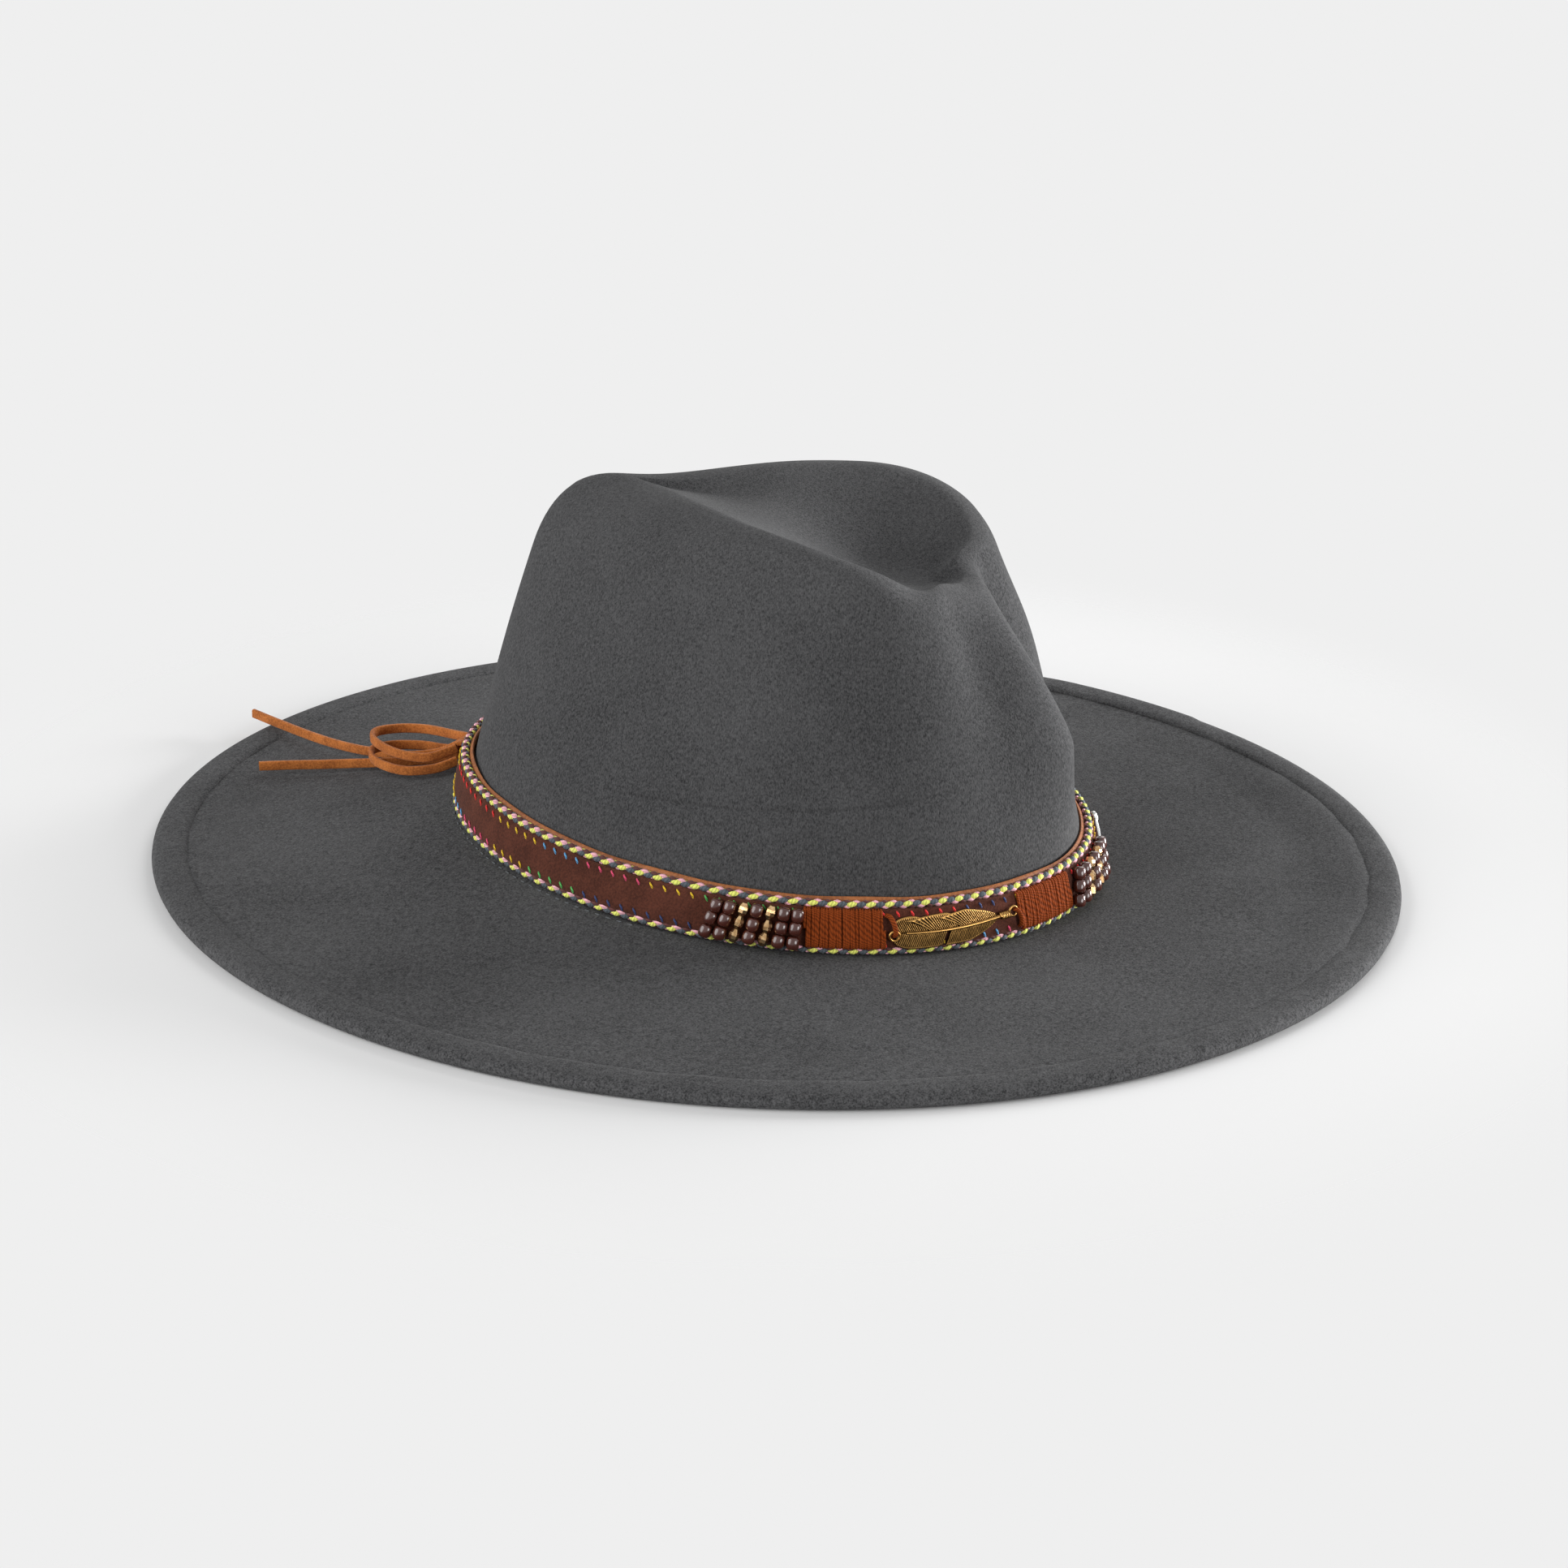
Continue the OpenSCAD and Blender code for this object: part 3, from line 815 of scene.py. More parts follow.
def install(obj: Piece, finish: Finish, body: str, slot: str, *nodes: str) -> None:
    """Dresses a piece, sets it on its body and hides the CAD nodes that it stands for.

    Args:
        obj: the finished piece.
        finish: its finish.
        body: the CAD body that it moves with.
        slot: not used.
        nodes: the CAD nodes that it replaces.
    """
    finish.dress(obj)
    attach(obj, body)
    if nodes:
        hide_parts(*nodes)
    log.info("%s: %d faces", obj.name, len(obj.data.polygons))


@dataclass
class Hood:
    """The pressed felt hood with its bound edge, wire, seam and sweatband."""

    form: HoodForm = FORM
    steps: int = 300
    rows: tuple = ((0, 0.33, 15), (0.33, 0.48, 34), (0.48, 1, 24), (1, 2, 18), (2, 3, 28))
    binding_width: float = 11.0
    binding_ply: float = 3.0
    lap: Triple = (0.45, 62.0, 84.0)
    brim_rise: Pair = (0.6, 0.7)
    brim_level: Triple = (-38.0, 54.0, 18.0)
    press_line: Pair = (39.0, 0.15)
    press_ends: Triple = (-112.0, -26.0, 14.0)
    seam_at: float = 0.08
    seam_from: float = 96.0
    seam_pitch: float = 3.7
    seam_stitch: Triple = (1.9, 0.34, 0.3)
    sweat_height: float = 34.0
    sweat_depth: Pair = (-2.75, -3.8)

    def build(self) -> None:
        """Builds and dresses every piece of the hood."""
        install(self.crown(), Finish.FELT, "hat", "felt", "crown")
        install(self.brim(), Finish.BRIM, "hat", "felt", "brim")
        install(self.binding(), Finish.BRIM, "hat", "felt", "brim_binding")
        install(self.sweatband(), Finish.LINING, "hat", "sweatband", "sweatband")
        install(self.seam(), Finish.SEAM, "hat", "felt")
        Finish.WIRE.dress(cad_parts["brim_wire"])

    def crown(self) -> Piece:
        """Builds the crown's shell with its dent, pinches and the faint press line above the band.

        Returns:
            The crown.
        """
        parts = np.unique(np.concatenate([np.linspace(*row) for row in self.rows]))[:, None]
        th = round_hat(self.steps)[None, :]
        points = self.form.skin(th, parts)
        height = points[..., 2] - self.form.foot_height(points[..., 1])
        level, slope = self.press_line
        start, end, ease = self.press_ends
        above = height - level - slope * (th + 60)
        line = 0.5 * bell(above, 0.75) - 0.3 * bell(above - 2.5, 2.5)
        line = line * smooth((th - start) / ease) * smooth((end - th) / ease)
        sway = 0.5 * sin_d(2 * th + 40) * sin_d(height * 2.4) + 0.3 * sin_d(5 * th) * sin_d(height * 3.1 + 30)
        push = (sway - line) * smooth(height / 12) * (parts < 1.5)
        points += push[..., None] * self.form.normal(th)
        return thicken(lay_grid("crown_felt", points), self.form.felt)

    def brim(self) -> Piece:
        """Builds the brim's plate, which meets the bound edge level at the front and lower elsewhere.

        Returns:
            The brim.
        """
        th, u = np.meshgrid(round_hat(self.steps), np.linspace(0, 1, 40), indexing="ij")
        top = self.form.brim_top(th, u)
        right, left, ease = self.brim_level
        front = smooth((th - right) / ease) * smooth((left - th) / ease)
        rise = self.brim_rise[0] + self.brim_rise[1] * front
        top[..., 2] += rise * smooth((u - 0.7) / 0.21) * smooth((0.975 - u) / 0.05)
        top[..., 2] += 0.35 * np.sin(u * np.pi) * (sin_d(3 * th + 20) + 0.6 * sin_d(5 * th + 75))
        section = np.concatenate([top, top[:, ::-2] - (0, 0, self.form.felt)], axis=1)
        return lay_grid("brim_felt", np.concatenate([section, section[:, :1]], axis=1), angle=50)

    def binding(self) -> Piece:
        """Builds the folded strip over the brim's edge, with the step where its ends lap.

        Returns:
            The strip.
        """
        w, h = self.binding_width, self.form.edge_height
        profile = [(w, 0.2), (w - 0.6, 0), (3, 0), (1.4, 0.25), (0.5, 0.9), (0.05, 1.9), (0, 2.6), (0.2, 3.5),
                   (0.8, 4.3), (1.9, 4.8), (3.4, h), (6, h + 0.1), (8.4, h), (10, h - 0.2),
                   (w - 0.1, h - 0.7), (w + 0.1, h - 1.3), (w - 0.5, h - 1.5), (w, 0.2)]
        th, inward = np.meshgrid(round_hat(2 * self.steps), [place for place, _ in profile], indexing="ij")
        up = np.array([height for _, height in profile])
        top = up > self.binding_ply
        rise, start, end = self.lap
        lap = rise * smooth((th - start) / 0.8) * smooth((end - th) / 6) * top
        ripple = 0.12 * (sin_d(37 * th) + 0.7 * sin_d(61 * th + 50)) * smooth((inward - 2) / 5) * top
        level = self.form.brim_edge(th, inward)
        return lay_grid("brim_edge_binding", stack(level[..., 0], level[..., 1], up + lap + ripple))

    def sweatband(self) -> Piece:
        """Builds the leather strip inside the crown's foot, with a soft upper edge.

        Returns:
            The strip.
        """
        (outer, inner), h = self.sweat_depth, self.sweat_height
        side = (0.1, 9, 20, h - 0.5)
        profile = [*((up, outer) for up in side), (h, -3.0), (h, -3.5), *((up, inner) for up in side[::-1]),
                   (side[0], outer)]
        th = round_hat(self.steps)[:, None]
        height, out = np.array(profile).T
        return lay_grid("sweatband_leather", self.form.beside(th, height[None], out[None]), angle=40)

    def seam(self) -> Piece:
        """Lays the stitches that hold the sweatband, beside the band's lower edge except at the front.

        Returns:
            The seam.
        """
        places = []
        th = self.seam_from
        while th < 360 - self.seam_from:
            spot = self.form.brim_top(np.array([th]), np.array([self.seam_at]))[0]
            along = unit(np.cross(UP, self.form.normal(np.array([th]))[0]))
            places.append(frame_at(spot + 0.12 * UP, along, UP, self.seam_stitch))
            th += self.seam_pitch * self.form.degrees_per_mm(th)
        return repeat("sweatband_seam", stitch_pattern(), places)


def frame_at(spot: np.ndarray, along: np.ndarray, out: np.ndarray, size: Triple) -> np.ndarray:
    """Makes the matrix that sets a unit shape at a spot.

    Args:
        spot: the place.
        along: direction of the shape's x.
        out: direction that its z roughly follows.
        size: its three sizes.

    Returns:
        The matrix.
    """
    x = unit(along)
    z = unit(out - np.dot(out, x) * x)
    matrix = np.eye(4)
    matrix[:3] = np.column_stack([x * size[0], np.cross(z, x) * size[1], z * size[2], spot])
    return matrix


def stitch_pattern() -> Piece:
    """Models one stitch: thread of one unit's length, thick in the middle and pointed at its ends.

    Returns:
        The stitch.
    """
    bpy.ops.object.select_all(action="DESELECT")
    bpy.ops.mesh.primitive_uv_sphere_add(segments=6, ring_count=5, radius=0.5, rotation=(0, math.pi / 2, 0))
    bpy.ops.object.transform_apply(location=True, rotation=True, scale=True)
    obj = bpy.context.active_object
    bpy.ops.object.mode_set(mode="EDIT")
    bpy.ops.mesh.select_all(action="SELECT")
    bpy.ops.transform.resize(value=(1, 1, 1.1))
    bpy.ops.object.mode_set(mode="OBJECT")
    bpy.ops.object.shade_smooth()
    return obj


@dataclass
class HatBand:
    """The leather band: backing, suede face, two four-strand braids and the small edge stitches."""

    form: HoodForm = FORM
    height: float = 16.2
    backing: Pair = (0.7, 1.9)
    face: Pair = (3.4, 4.3)
    braid: float = 2.6
    braid_repeats: int = 104
    lip: float = 0.6
    tuck: Pair = (0.5, 0.8)
    stitch_pitch: float = 4.4
    stitch_inset: float = 0.95
    stitch_raised: float = 0.3
    stitch_size: Triple = (2.4, 0.75, 0.6)
    strand_size: Pair = (0.95, 1.6)
    strand_out: Pair = (0.58, 0.34)
    strand_lean: float = 0.36
    steps: int = 240

    @property
    def upper_braid(self) -> float:
        """Height of the upper braid's middle."""
        return self.height - self.lip - self.braid / 2

    def build(self) -> None:
        """Builds and dresses the band."""
        leather = self.strip("band_leather", (0, self.height - self.lip), self.backing, 0.25)
        install(leather, Finish.TAN, "band", "tan_leather", "band_backing")
        edges = self.braid - self.tuck[0], self.upper_braid - self.tuck[1]
        install(self.strip("band_suede", edges, self.face, 0.4), Finish.SUEDE, "band", "suede", "band_face")
        for name, height in (("upper_braid", self.upper_braid), ("lower_braid", self.braid / 2)):
            for colour, direction, start in ((Finish.YELLOW, 1, 0.0), (Finish.GREY, 1, 0.5),
                                             (Finish.PINK, -1, 0.0), (Finish.BROWN, -1, 0.5)):
                strand = self.strand(f"{name}_{colour.name.lower()}", height, direction, start)
                install(strand, colour, "band", "braid", name)
        gold, red, blue, rose, green, navy = (Finish.GOLD_STITCH, Finish.RED_STITCH, Finish.BLUE_STITCH,
                                              Finish.ROSE_STITCH, Finish.GREEN_STITCH, Finish.NAVY_STITCH)
        self.stitches("upper_stitch", self.upper_braid - self.braid / 2 - self.stitch_inset,
                      ((navy, 4), (gold, 3), (red, 9), (gold, 5), (blue, 4), (rose, 5), (gold, 4), (green, 9),
                       (red, 9)))
        self.stitches("lower_stitch", self.braid + self.stitch_inset,
                      ((red, 4), (gold, 4), (blue, 3), (rose, 5), (gold, 4), (green, 5), (navy, 9), (gold, 6),
                       (rose, 4)))

    def strip(self, name: str, heights: Pair, depths: Pair, puff: float) -> Piece:
        """Builds a flat strip round the crown with softened edges.

        Args:
            name: the piece's name.
            heights: its lower and upper edge on the band.
            depths: its inner and outer face outside the felt.
            puff: how far its face swells.

        Returns:
            The strip.
        """
        (low, high), (inner, outer) = heights, depths
        r = 0.45 * (outer - inner)
        up = np.linspace(low + r, high - r, 9)
        swell = puff * np.sin(np.pi * (up - low) / (high - low))
        foot, top = [(low, inner + r), (low, outer - r)], [(high, outer - r), (high, inner + r)]
        back = zip(up[::-1][::4], np.full(3, inner))
        height, out = np.array([*foot, *zip(up, outer + swell), *top, *back, foot[0]]).T
        th = round_hat(self.steps)[:, None]
        wave = (0.14 * sin_d(11 * th) + 0.1 * sin_d(19 * th + 60)) * (height > high - 1)
        return lay_grid(name, self.form.beside(th, BAND_FOOT + height[None] + wave, out[None]))

    def strand(self, name: str, height: float, direction: int, start: float) -> Piece:
        """Builds one strand of a round braid: it turns about the cord and passes over and under the others.

        Args:
            name: the piece's name.
            height: height of the cord's middle on the band.
            direction: 1 or -1 for the way that it turns.
            start: its place in a turn, from 0 to 1.

        Returns:
            The strand.
        """
        count = 12 * self.braid_repeats
        th = np.linspace(-180, 180, count + 1)
        out = self.backing[1] + self.braid / 2 + 0.05
        middle = self.form.beside(th, BAND_FOOT + height, out)
        turn = 2 * np.pi * (direction * self.braid_repeats * (th + 180) / 360 + start)
        radius = self.strand_out[0] - direction * self.strand_out[1] * np.cos(2 * turn)
        facing = np.radians(-20 + 40 * sin_d(th + 60)) if height > self.height / 2 else np.radians(-70)
        lean = turn + direction * self.strand_lean * np.sin(2 * turn) - np.pi / 4 + facing
        away = np.cos(lean)[:, None] * self.form.normal(th) + np.sin(lean)[:, None] * UP
        path = middle + radius[:, None] * away
        path[-1] = path[0]
        return lay_grid(name, tube(path, away, *self.strand_size, 8))

    def stitches(self, name: str, height: float, groups: tuple[tuple[Finish, int], ...]) -> None:
        """Sews a row of short slanted stitches in groups of one colour each.

        Args:
            name: start of the pieces' names.
            height: height of the row on the band.
            groups: colours with the number of stitches of each, from the wearer's right of the back.
        """
        order = [colour for colour, count in groups for _ in range(count)]
        places: dict[Finish, list[np.ndarray]] = {colour: [] for colour in order}
        th, number = -176.0, 0
        while th < 176:
            spot = self.form.beside(th, BAND_FOOT + height, self.face[1] + self.stitch_raised)
            out = self.form.normal(np.array([th]))[0]
            along = np.cross(UP, out) * 0.5 - UP
            places[order[number % len(order)]].append(frame_at(spot, along, out, self.stitch_size))
            th += self.stitch_pitch * self.form.degrees_per_mm(th)
            number += 1
        for colour, spots in places.items():
            install(repeat(f"{name}_{colour.name.lower()}", stitch_pattern(), spots), colour, "band", "braid")


@dataclass
class BeadCluster:
    """Seven slanted columns of three barrel beads, two of them gilt."""

    node: str
    first: float
    pitch: float
    form: HoodForm = FORM
    middle: float = 7.8
    out: float = 6.55
    length: float = 3.9
    gap: float = 0.2
    diameter: float = 3.95
    slant: Pair = (19.0, 9.0)
    columns: int = 7
    gilt: tuple[int, ...] = (3, 5)

    def build(self) -> None:
        """Builds and dresses the columns."""
        for number in range(1, self.columns + 1):
            if number in self.gilt:
                bead, finish, slot = self.turned(self.gilt_profile(), 7, 12), Finish.GILT, "gold_bead"
            else:
                bead, finish, slot = self.turned(self.barrel_profile(), 24, None), Finish.BEAD, "brown_bead"
            node = f"{self.node}_{number}"
            column = repeat(f"{node}_beads", bead, [self.place(number, row) for row in (-1, 0, 1)])
            install(column, finish, "band", slot, node)

    def place(self, number: int, row: int) -> np.ndarray:
        """Places a bead in its column, a little out of line as strung by hand.

        Args:
            number: the column, from 1.
            row: -1, 0 or 1 from the lowest bead to the highest.

        Returns:
            The bead's matrix.
        """
        lean = mix(*self.slant, (number - 1) / (self.columns - 1))
        stray = math.sin(7.3 * number + 2.9 * row)
        th = self.first + (number - 1) * self.pitch
        slant = lean + 3 * stray
        spot = self.form.beside(th, BAND_FOOT + self.middle + 0.12 * stray, self.out)
        up = unit(self.form.beside(th, BAND_FOOT + self.middle + 1, self.out) - spot)
        along = unit(np.cross(up, self.form.normal(np.array([th]))[0]))
        column = up * cos_d(lean) + along * sin_d(lean)
        axis = unit(up * cos_d(slant) + along * sin_d(slant))
        spin = np.cross(axis, unit(np.cross(along, axis)))
        turn = math.radians(40 * row + 25 * number)
        matrix = np.eye(4)
        matrix[:3, 2] = axis
        matrix[:3, 1] = unit(spin * math.cos(turn) + np.cross(axis, spin) * math.sin(turn))
        matrix[:3, 0] = np.cross(matrix[:3, 1], axis)
        matrix[:3, 3] = spot + row * (self.length + self.gap) * column
        return matrix

    def barrel_profile(self) -> list[Pair]:
        """Gives the half section of a barrel bead with rounded shoulders and its thread hole.

        Returns:
            Distances from the thread and heights.
        """
        h, r = self.length / 2, self.diameter / 2
        half = [(0.5, 0.4), (0.62, 0.12), (0.9, 0), (1.25, 0.06), (1.62, 0.34), (r - 0.08, 0.95), (r, h)]
        lower = [(out, up - h) for out, up in half]
        return [*lower, *((out, -up) for out, up in reversed(lower[:-1])), lower[0]]

    def gilt_profile(self) -> list[Pair]:
        """Gives the half section of a cut bead.

        Returns:
            Distances from the thread and heights.
        """
        h, r = self.length / 2 + 0.05, self.diameter / 2 - 0.35
        return [(0.45, -h), (0.85, -h), (r - 0.12, -h + 1.05), (r, 0.1), (r - 0.12, h - 1.05), (0.85, h),
                (0.45, h), (0.45, -h)]

    def turned(self, profile: list[Pair], sides: int, angle: float | None) -> Piece:
        """Turns a bead's profile about its thread.

        Args:
            profile: distances from the thread and heights.
            sides: number of the bead's sides.
            angle: least angle of a sharp edge, or None for a smooth bead.

        Returns:
            The bead, in millimetres.
        """
        radius, up = np.array(profile).T
        a = np.linspace(0, 2 * np.pi, sides + 1)[:, None]
        points = stack(radius * np.cos(a), radius * np.sin(a), up + 0 * a)
        points[-1] = points[0]
        return lay_grid("bead", points / MM, angle=angle)


@dataclass
class ThreadWrap:
    """A block of yarn wound round the suede strip in one unbroken length."""

    node: str
    at: float
    form: HoodForm = FORM
    turns: int = 29
    width: float = 23.2
    heights: Pair = (2.45, 13.15)
    depths: Pair = (2.7, 5.15)
    thread: float = 1.02
    per_turn: int = 24

    def build(self) -> None:
        """Builds and dresses the winding."""
        rings = tube(self.path(), self.form.normal(self.places()), self.thread, self.thread, 6)
        install(lay_grid(f"{self.node}_yarn", rings, cap=True), Finish.WRAP, "band", "wrap_thread", self.node)

    def places(self) -> np.ndarray:
        """Gives the place round the hat of each point of the winding.

        Returns:
            The angles.
        """
        count = np.arange(self.turns * self.per_turn + 1) / self.per_turn
        step = self.width / self.turns * self.form.degrees_per_mm(self.at)
        stray = 0.16 * np.sin(count * 2.3) + 0.12 * np.sin(count * 0.9 + 1) + 0.12 * np.sin(count * 5.1)
        stray = stray * smooth(count / 2) * smooth((self.turns - count) / 2)
        return self.at + step * (count - self.turns / 2 + stray)

    def path(self) -> np.ndarray:
        """Gives the winding's points, which bulge a little unevenly on the face.

        Returns:
            The points.
        """
        th = self.places()
        angle = np.linspace(0, 2 * np.pi * self.turns, len(th))
        c, s = np.cos(angle), np.sin(angle)
        bulge = 0.1 * np.sin(np.arange(len(th)) * 0.37) + 0.12
        half, deep = np.diff(self.heights)[0] / 2, np.diff(self.depths)[0] / 2
        height = np.mean(self.heights) + half * np.sign(s) * np.abs(s) ** 0.6
        out = np.mean(self.depths) + (deep + np.where(c > 0, bulge, 0)) * np.sign(c) * np.abs(c) ** 0.35
        return self.form.beside(th, BAND_FOOT + height, out)


@dataclass
class FeatherCharm:
    """Cast feather: split barbed vane, raised shaft, bound neck and eye, tied on by yarn at both ends."""

    form: HoodForm = FORM
    at: float = -40.1
    middle: float = 7.8
    out: float = 5.1
    length: float = 33.0
    half_width: float = 4.75
    barbs: int = 56
    lobes: tuple = ((0.02, 0.4, 1, 1), (0.42, 0.69, 1, 1), (0.71, 0.97, 1, 0), (0.02, 0.49, -1, 0),
                    (0.525, 0.97, -1, 0))
    ring_radius: float = 1.45
    ring_wire: float = 0.8
    tip_tie: tuple = ((-19.0, 4.6, -0.9), (-17.6, 4.4, 0.1), (-16.7, 2.6, 1.3), (-16.4, 0.4, 1.3),
                      (-16.6, -1.0, 0.4), (-17.0, -1.6, -1.2))
    eye_tie: tuple = ((22.0, 0.6, -0.6), (22.0, 1.0, 1.2), (22.9, 0.3, 1.7), (23.9, -2.0, 1.3),
                      (24.2, -4.4, 0.4), (24.4, -5.6, -1.4))
    tie_width: float = 1.5

    def build(self) -> None:
        """Builds and dresses the charm, its tip ring and its ties."""
        vane = [self.lobe(*lobe) for lobe in self.lobes]
        charm = join("feather_charm_cast", [*vane, self.shaft(), self.neck(), self.eye()])
        install(charm, Finish.BRASS, "band", "antique_brass", "feather_charm")
        ring = self.loop("charm_tip_ring", (-16.6, -1.0), 0.6)
        install(ring, Finish.RING, "band", "antique_brass", "charm_ring")
        self.tie("charm_tip_tie", self.tip_tie)
        self.tie("charm_eye_tie", self.eye_tie)

    def on_band(self, x: np.ndarray, y: np.ndarray, out: np.ndarray) -> np.ndarray:
        """Sets points of the flat charm on the band: x to the front, y up and out from the suede."""
        th = self.at + x * self.form.degrees_per_mm(self.at)
        return self.form.beside(th, BAND_FOOT + self.middle + y + 0.035 * x, self.out + out)

    def bow(self, s: np.ndarray) -> np.ndarray:
        """Gives the shaft's slight bend at a part s of its length from the neck."""
        return -0.5 * np.sin(np.pi * s) - 0.3 * s

    def lobe(self, start: float, end: float, side: int, curl: float) -> Piece:
        """Builds one lobe of the vane, ridged by its barbs.

        Args:
            start: its place along the shaft, from 0 at the neck to 1 at the tip.
            end: the other end of it.
            side: 1 above the shaft, -1 below it.
            curl: how far its last barbs sweep over the next lobe.

        Returns:
            The lobe.
        """
        s = np.linspace(start, end, int(420 * (end - start)))[:, None]
        r = np.linspace(0, 1, 14)[None, :]
        last = ((s - start) / (end - start)) ** 5 * curl
        taper = np.clip(s / 0.26, 0, 1) ** 0.6 * np.sqrt(1 - np.clip((s - 0.78) / 0.235, 0, 1) ** 2)
        reach = self.half_width * taper * (1 - 0.1 * bell(s - start, 0.03))
        sweep = reach * (0.45 * r + 1.0 * last * r**1.6)
        x = self.length * (0.5 - s) - sweep
        y = self.bow(s) + side * reach * r * (1 - 0.22 * last)
        ridge = 0.5 + 0.5 * np.cos(2 * np.pi * self.barbs * s)
        rim = smooth((r - 0.86) / 0.1)
        lift = 0.5 - 0.35 * r**2 + 0.22 * ridge * smooth(r * 8) * (1 - rim) + 0.2 * rim + 0.45 * last * r
        obj = thicken(lay_grid("lobe", self.on_band(x, y, lift)), 0.5)
        return self.mark(obj, np.clip(0.15 + 0.6 * ridge + 0.6 * rim, 0, 1))

    def mark(self, obj: Piece, height: np.ndarray | float) -> Piece:
        """Keeps how raised each point is, for the metal's tone.

        Args:
            obj: a part of the charm.
            height: 0 in a recess to 1 on a ridge, for its first points; the rest take the least of them.

        Returns:
            The same part.
        """
        values = np.full(len(obj.data.vertices), np.min(height))
        flat = np.ravel(height)[: len(values)]
        values[: len(flat)] = flat
        obj.data.attributes.new("relief", "FLOAT", "POINT").data.foreach_set("value", values)
        return obj

    def shaft(self) -> Piece:
        """Builds the raised rib, tapered to the tip.

        Returns:
            The rib.
        """
        s = np.linspace(-0.1, 0.9, 48)
        path = self.on_band(self.length * (0.5 - s), self.bow(np.clip(s, 0, 1)), 0.8 + 0 * s)
        width = np.linspace(1.25, 0.7, 48)
        return self.mark(lay_grid("shaft", tube(path, UP, width, width, 12), cap=True), 0.9)

    def neck(self) -> Piece:
        """Builds the wire bound round the neck.

        Returns:
            The wire.
        """
        turn = np.linspace(0, 2 * np.pi * 5, 121)
        x = self.length / 2 + turn / (2 * np.pi) * 0.66
        path = self.on_band(x, 0.85 * np.sin(turn), 0.8 + 0.85 * np.cos(turn))
        return self.mark(lay_grid("neck", tube(path, UP, 0.62, 0.62, 8), cap=True), 0.8)

    def eye(self) -> Piece:
        """Builds the eye at the neck's end."""
        return self.mark(self.loop("eye", (self.length / 2 + 5.0, 0.5), 0.95), 0.8)

    def loop(self, name: str, centre: Pair, out: float) -> Piece:
        """Builds a round wire loop that lies on the band.

        Args:
            name: the piece's name.
            centre: its middle on the flat charm.
            out: its distance from the suede.

        Returns:
            The loop.
        """
        angle = np.linspace(0, 2 * np.pi, 33)
        x, y = centre[0] + self.ring_radius * np.cos(angle), centre[1] + self.ring_radius * np.sin(angle)
        path = self.on_band(x, y, out + 0.25 * np.sin(angle))
        path[-1] = path[0]
        away = self.form.normal(np.full(33, self.at))
        return lay_grid(name, tube(path, away, self.ring_wire, self.ring_wire, 10))

    def tie(self, name: str, route: tuple[Triple, ...]) -> None:
        """Builds a strand bundle that passes through the charm and behind it.

        Args:
            name: the piece's name.
            route: its points on the flat charm.
        """
        x, y, out = curve_through(np.array(route), 8).T
        rings = tube(self.on_band(x, y, out), (0.3, -0.9, 0.2), self.tie_width, 0.7 * self.tie_width, 12)
        install(lay_grid(name, rings, cap=True), Finish.TIE, "band", "wrap_thread")


@dataclass
class SilverLink:
    """Polished bar with two collars, sewn on beside the front beads."""

    form: HoodForm = FORM
    at: float = 23.0
    middle: float = 7.8
    out: float = 5.6
    length: float = 11.0

    def build(self) -> None:
        """Builds and dresses the bar."""
        end = self.length / 2 + np.array([1, 0.8, 0, -0.6, -0.7, -1.5, -1.6])
        radius = [0.05, 0.7, 1.1, 1.1, 1.3, 1.3, 0.95]
        up = np.array([*-end, 0, *end[::-1]])
        width = 2 * np.array([*radius, 1.0, *radius[::-1]])
        path = self.form.beside(self.at, BAND_FOOT + self.middle + up, self.out)
        rings = tube(path, self.form.normal(np.full(len(up), self.at)), width, width, 24)
        bar = lay_grid("silver_bar", rings, cap=True, angle=50)
        install(bar, Finish.SILVER, "band", "silver", "silver_link")


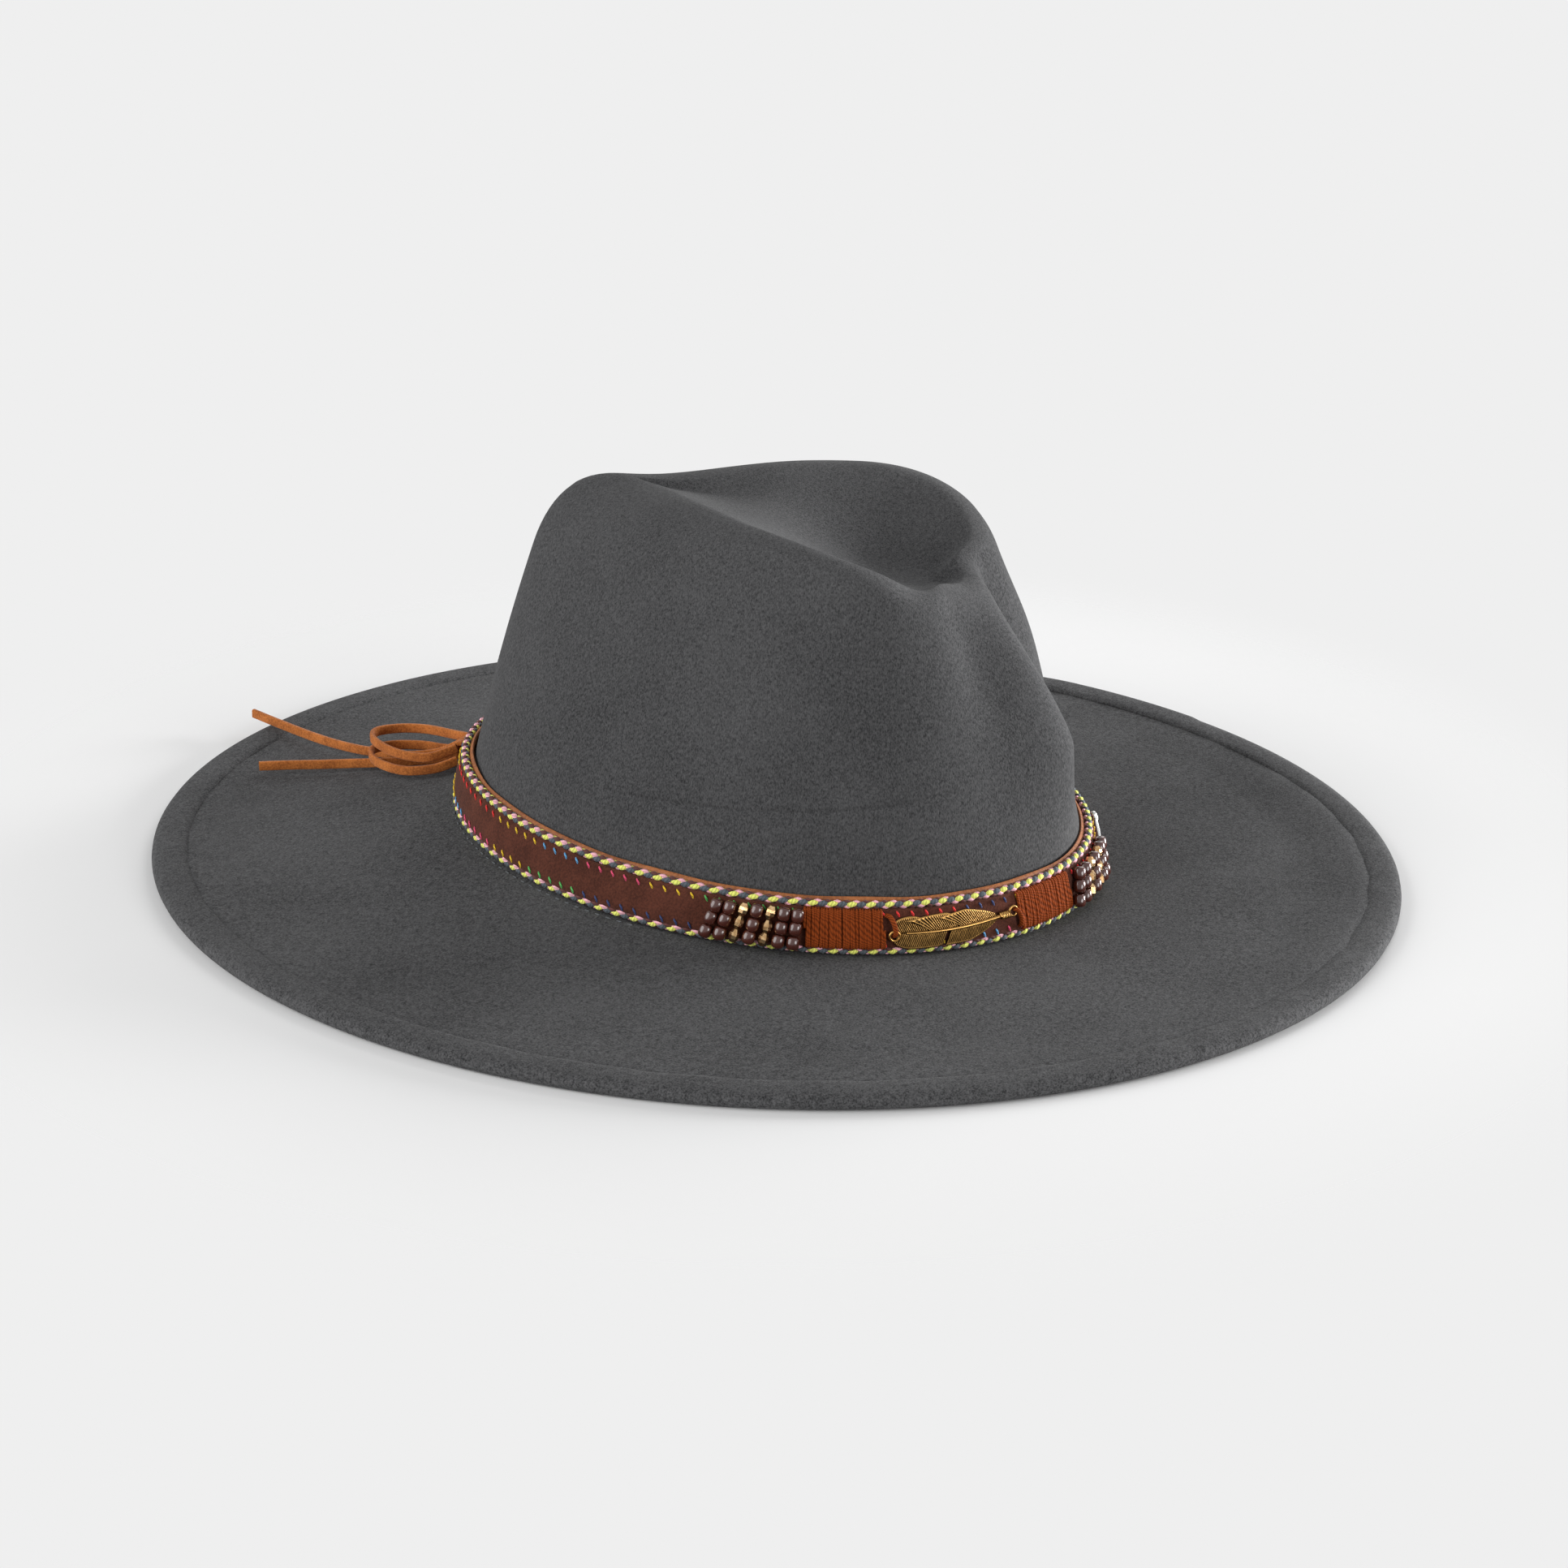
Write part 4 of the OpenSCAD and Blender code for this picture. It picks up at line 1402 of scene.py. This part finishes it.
@dataclass
class LaceTie:
    """Flat suede lace tied in a bow at the back: a knot, two loops and two tails."""

    width: float = 3.0
    thickness: float = 1.5
    knot_turns: float = 2.5
    routes: tuple = (
        ("loop_upper", ((5, 106, 21), (10, 115, 19), (14, 126, 17.6), (13, 135, 17), (8, 141, 16.8),
                        (2, 140, 16.8), (-4, 133, 16.8), (-8, 124, 17), (-9, 114, 18), (-5, 106, 21))),
        ("loop_lower", ((3, 106, 17.6), (7, 116, 15), (9, 126, 13.9), (6, 135, 13.6), (0, 139, 13.5),
                        (-7, 135, 13.4), (-11, 128, 13.4), (-12.6, 120, 13.8), (-11, 111, 15.4),
                        (-7, 105, 17.6))),
        ("tail_long", ((1.5, 106.5, 20.8), (2, 116, 15.4), (4, 128, 11.8), (7, 138, 9.9), (9.5, 148, 8.6),
                       (13, 158.5, 7.6), (17, 169, 7), (21, 179, 6.8), (25, 189, 6.8), (29, 199, 6.9))),
        ("tail_short", ((-2.5, 106.5, 18), (-2.4, 114, 15.2), (-2, 124, 12.7), (-2, 134, 10.6),
                        (-3, 144, 9.1), (-5.5, 155, 7.9), (-8.5, 165, 7.2), (-12, 174, 6.7))),
    )

    def build(self) -> None:
        install(self.knot(), Finish.LACE, "band", "lace_leather", "tie_knot")
        for node, route in self.routes:
            self.lace(node, np.array(route, float))

    def lace(self, node: str, route: np.ndarray) -> None:
        """Args:
            node: end of the names of the piece and of its node.
            route: the lace's points.
        """
        path = curve_through(route, 6)
        rings = tube(path, UP, self.width, self.thickness, 16, 0.45)
        obj = lay_grid(f"lace_{node}", rings, cap=True, angle=50)
        install(obj, Finish.LACE, "band", "lace_leather", f"tie_{node}")

    def knot(self) -> Piece:
        """Builds the tight turns of the knot against the band.

        Returns:
            The knot.
        """
        low, high = (np.array(v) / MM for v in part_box("tie_knot"))
        middle, half = (low + high) / 2, (high - low) / 2
        turn = np.linspace(0, 2 * np.pi * self.knot_turns, 61)
        across = (half[0] - 1.6) * (turn / turn[-1] * 2 - 1) * 0.8
        path = middle + stack(across, (half[1] - 0.9) * np.cos(turn), (half[2] - 0.9) * np.sin(turn))
        rings = tube(path, (1, 0, 0), self.width, self.thickness, 12, 0.5)
        return lay_grid("lace_knot", rings, cap=True, angle=50)


@dataclass
class Studio:
    """Pale floor, soft light and the camera at the photograph's angle."""

    camera: Triple = (-1.0705, -0.4387, 0.4853)
    target: Triple = (0.0567, 0.019, 0.0)
    roll: float = 0.53
    view_angle: float = 22.0
    backdrop: tuple = linear(239, 239, 239)
    ambient: float = 0.33
    floor_tone: tuple = linear(236, 236, 236)
    floor_fade: Pair = (0.2, 0.3)
    aim: Triple = (0, 0, 0.05)
    lamps: tuple = (("right", (-0.6, -1.7, 0.3), 0.9, 15.0), ("far_right", (1.15, -1.45, 0.22), 0.8, 53.0),
                    ("left", (-1.2, 1.3, 0.8), 2.0, 36.0), ("far", (1.2, -0.1, 0.9), 0.9, 7.0))

    def build(self) -> None:
        """Sets up floor, world, lamps and camera."""
        scene = bpy.context.scene
        scene.view_settings.view_transform = "Standard"
        self.floor()
        self.world(scene)
        for lamp in self.lamps:
            self.lamp(*lamp)
        lens = bpy.data.cameras.new("camera")
        lens.sensor_fit, lens.angle, lens.clip_start = "HORIZONTAL", math.radians(self.view_angle), 0.01
        camera = bpy.data.objects.new("camera", lens)
        scene.collection.objects.link(camera)
        camera.location = self.camera
        aim = (Vector(self.target) - camera.location).to_track_quat("-Z", "Y")
        camera.rotation_euler = (aim @ Quaternion((0, 0, 1), math.radians(self.roll))).to_euler()
        scene.camera = camera

    def floor(self) -> None:
        """Adds the floor, which fades into the backdrop away from the hat."""
        bpy.ops.object.select_all(action="DESELECT")
        bpy.ops.mesh.primitive_circle_add(vertices=96, radius=0.9, fill_type="NGON")
        floor = bpy.context.active_object
        floor.name = "floor"
        bench = Bench("pale_floor")
        bench.set(Base_Color=self.floor_tone, Roughness=0.9, Specular_IOR_Level=0.1)
        away = bench.node("ShaderNodeVectorMath", {"operation": "LENGTH"}, {0: bench.place()}, "Value")
        clear = bench.node("ShaderNodeBsdfTransparent", {}, {})
        faded = bench.node("ShaderNodeMixShader", {}, {0: away.span(*self.floor_fade), 2: clear})
        bench.tree.links.new(bench.shader.outputs[0], faded.socket.node.inputs[1])
        bench.tree.links.new(faded.socket, bench.tree.nodes["Material Output"].inputs["Surface"])
        floor.data.materials.append(bench.material)

    def world(self, scene: bpy.types.Scene) -> None:
        """Lights the scene evenly and shows the backdrop's tone to the camera and in reflections.

        Args:
            scene: the scene.
        """
        world = bpy.data.worlds.new("studio")
        scene.world = world
        world.use_nodes = True
        tree = world.node_tree
        light = tree.nodes["Background"]
        light.inputs["Color"].default_value = (1, 1, 1, 1)
        light.inputs["Strength"].default_value = self.ambient
        seen = tree.nodes.new("ShaderNodeBackground")
        seen.inputs["Color"].default_value = (*self.backdrop, 1)
        rays = tree.nodes.new("ShaderNodeLightPath")
        last = rays.outputs["Is Camera Ray"]
        for kind in ("Is Glossy Ray", "Is Transmission Ray"):
            add = tree.nodes.new("ShaderNodeMath")
            add.operation, add.use_clamp = "ADD", True
            tree.links.new(last, add.inputs[0])
            tree.links.new(rays.outputs[kind], add.inputs[1])
            last = add.outputs[0]
        choose = tree.nodes.new("ShaderNodeMixShader")
        for source, socket in zip((last, light.outputs[0], seen.outputs[0]), choose.inputs):
            tree.links.new(source, socket)
        tree.links.new(choose.outputs[0], tree.nodes["World Output"].inputs["Surface"])

    def lamp(self, name: str, place: Triple, size: float, power: float) -> None:
        """Adds a large soft lamp that faces the hat.

        Args:
            name: the lamp's name.
            place: where it stands.
            size: its diameter.
            power: its power in watts.
        """
        data = bpy.data.lights.new(name, "AREA")
        data.shape, data.size, data.energy = "DISK", size, power
        lamp = bpy.data.objects.new(name, data)
        bpy.context.scene.collection.objects.link(lamp)
        lamp.location = place
        lamp.rotation_euler = (Vector(self.aim) - lamp.location).to_track_quat("-Z", "Y").to_euler()


def main() -> None:
    """Builds the hat around its CAD frame."""
    logging.basicConfig(level=logging.INFO)
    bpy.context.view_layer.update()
    Studio().build()
    LaceTie().build()
    Hood().build()
    HatBand().build()
    BeadCluster("bead_column_side", -82.0, 2.37).build()
    BeadCluster("bead_column_front", -6.4, 2.8).build()
    ThreadWrap("wrap_right_side", -59.4).build()
    ThreadWrap("wrap_front", -16.6).build()
    FeatherCharm().build()
    SilverLink().build()
    bpy.context.view_layer.update()


if __name__ == "__main__":
    main()
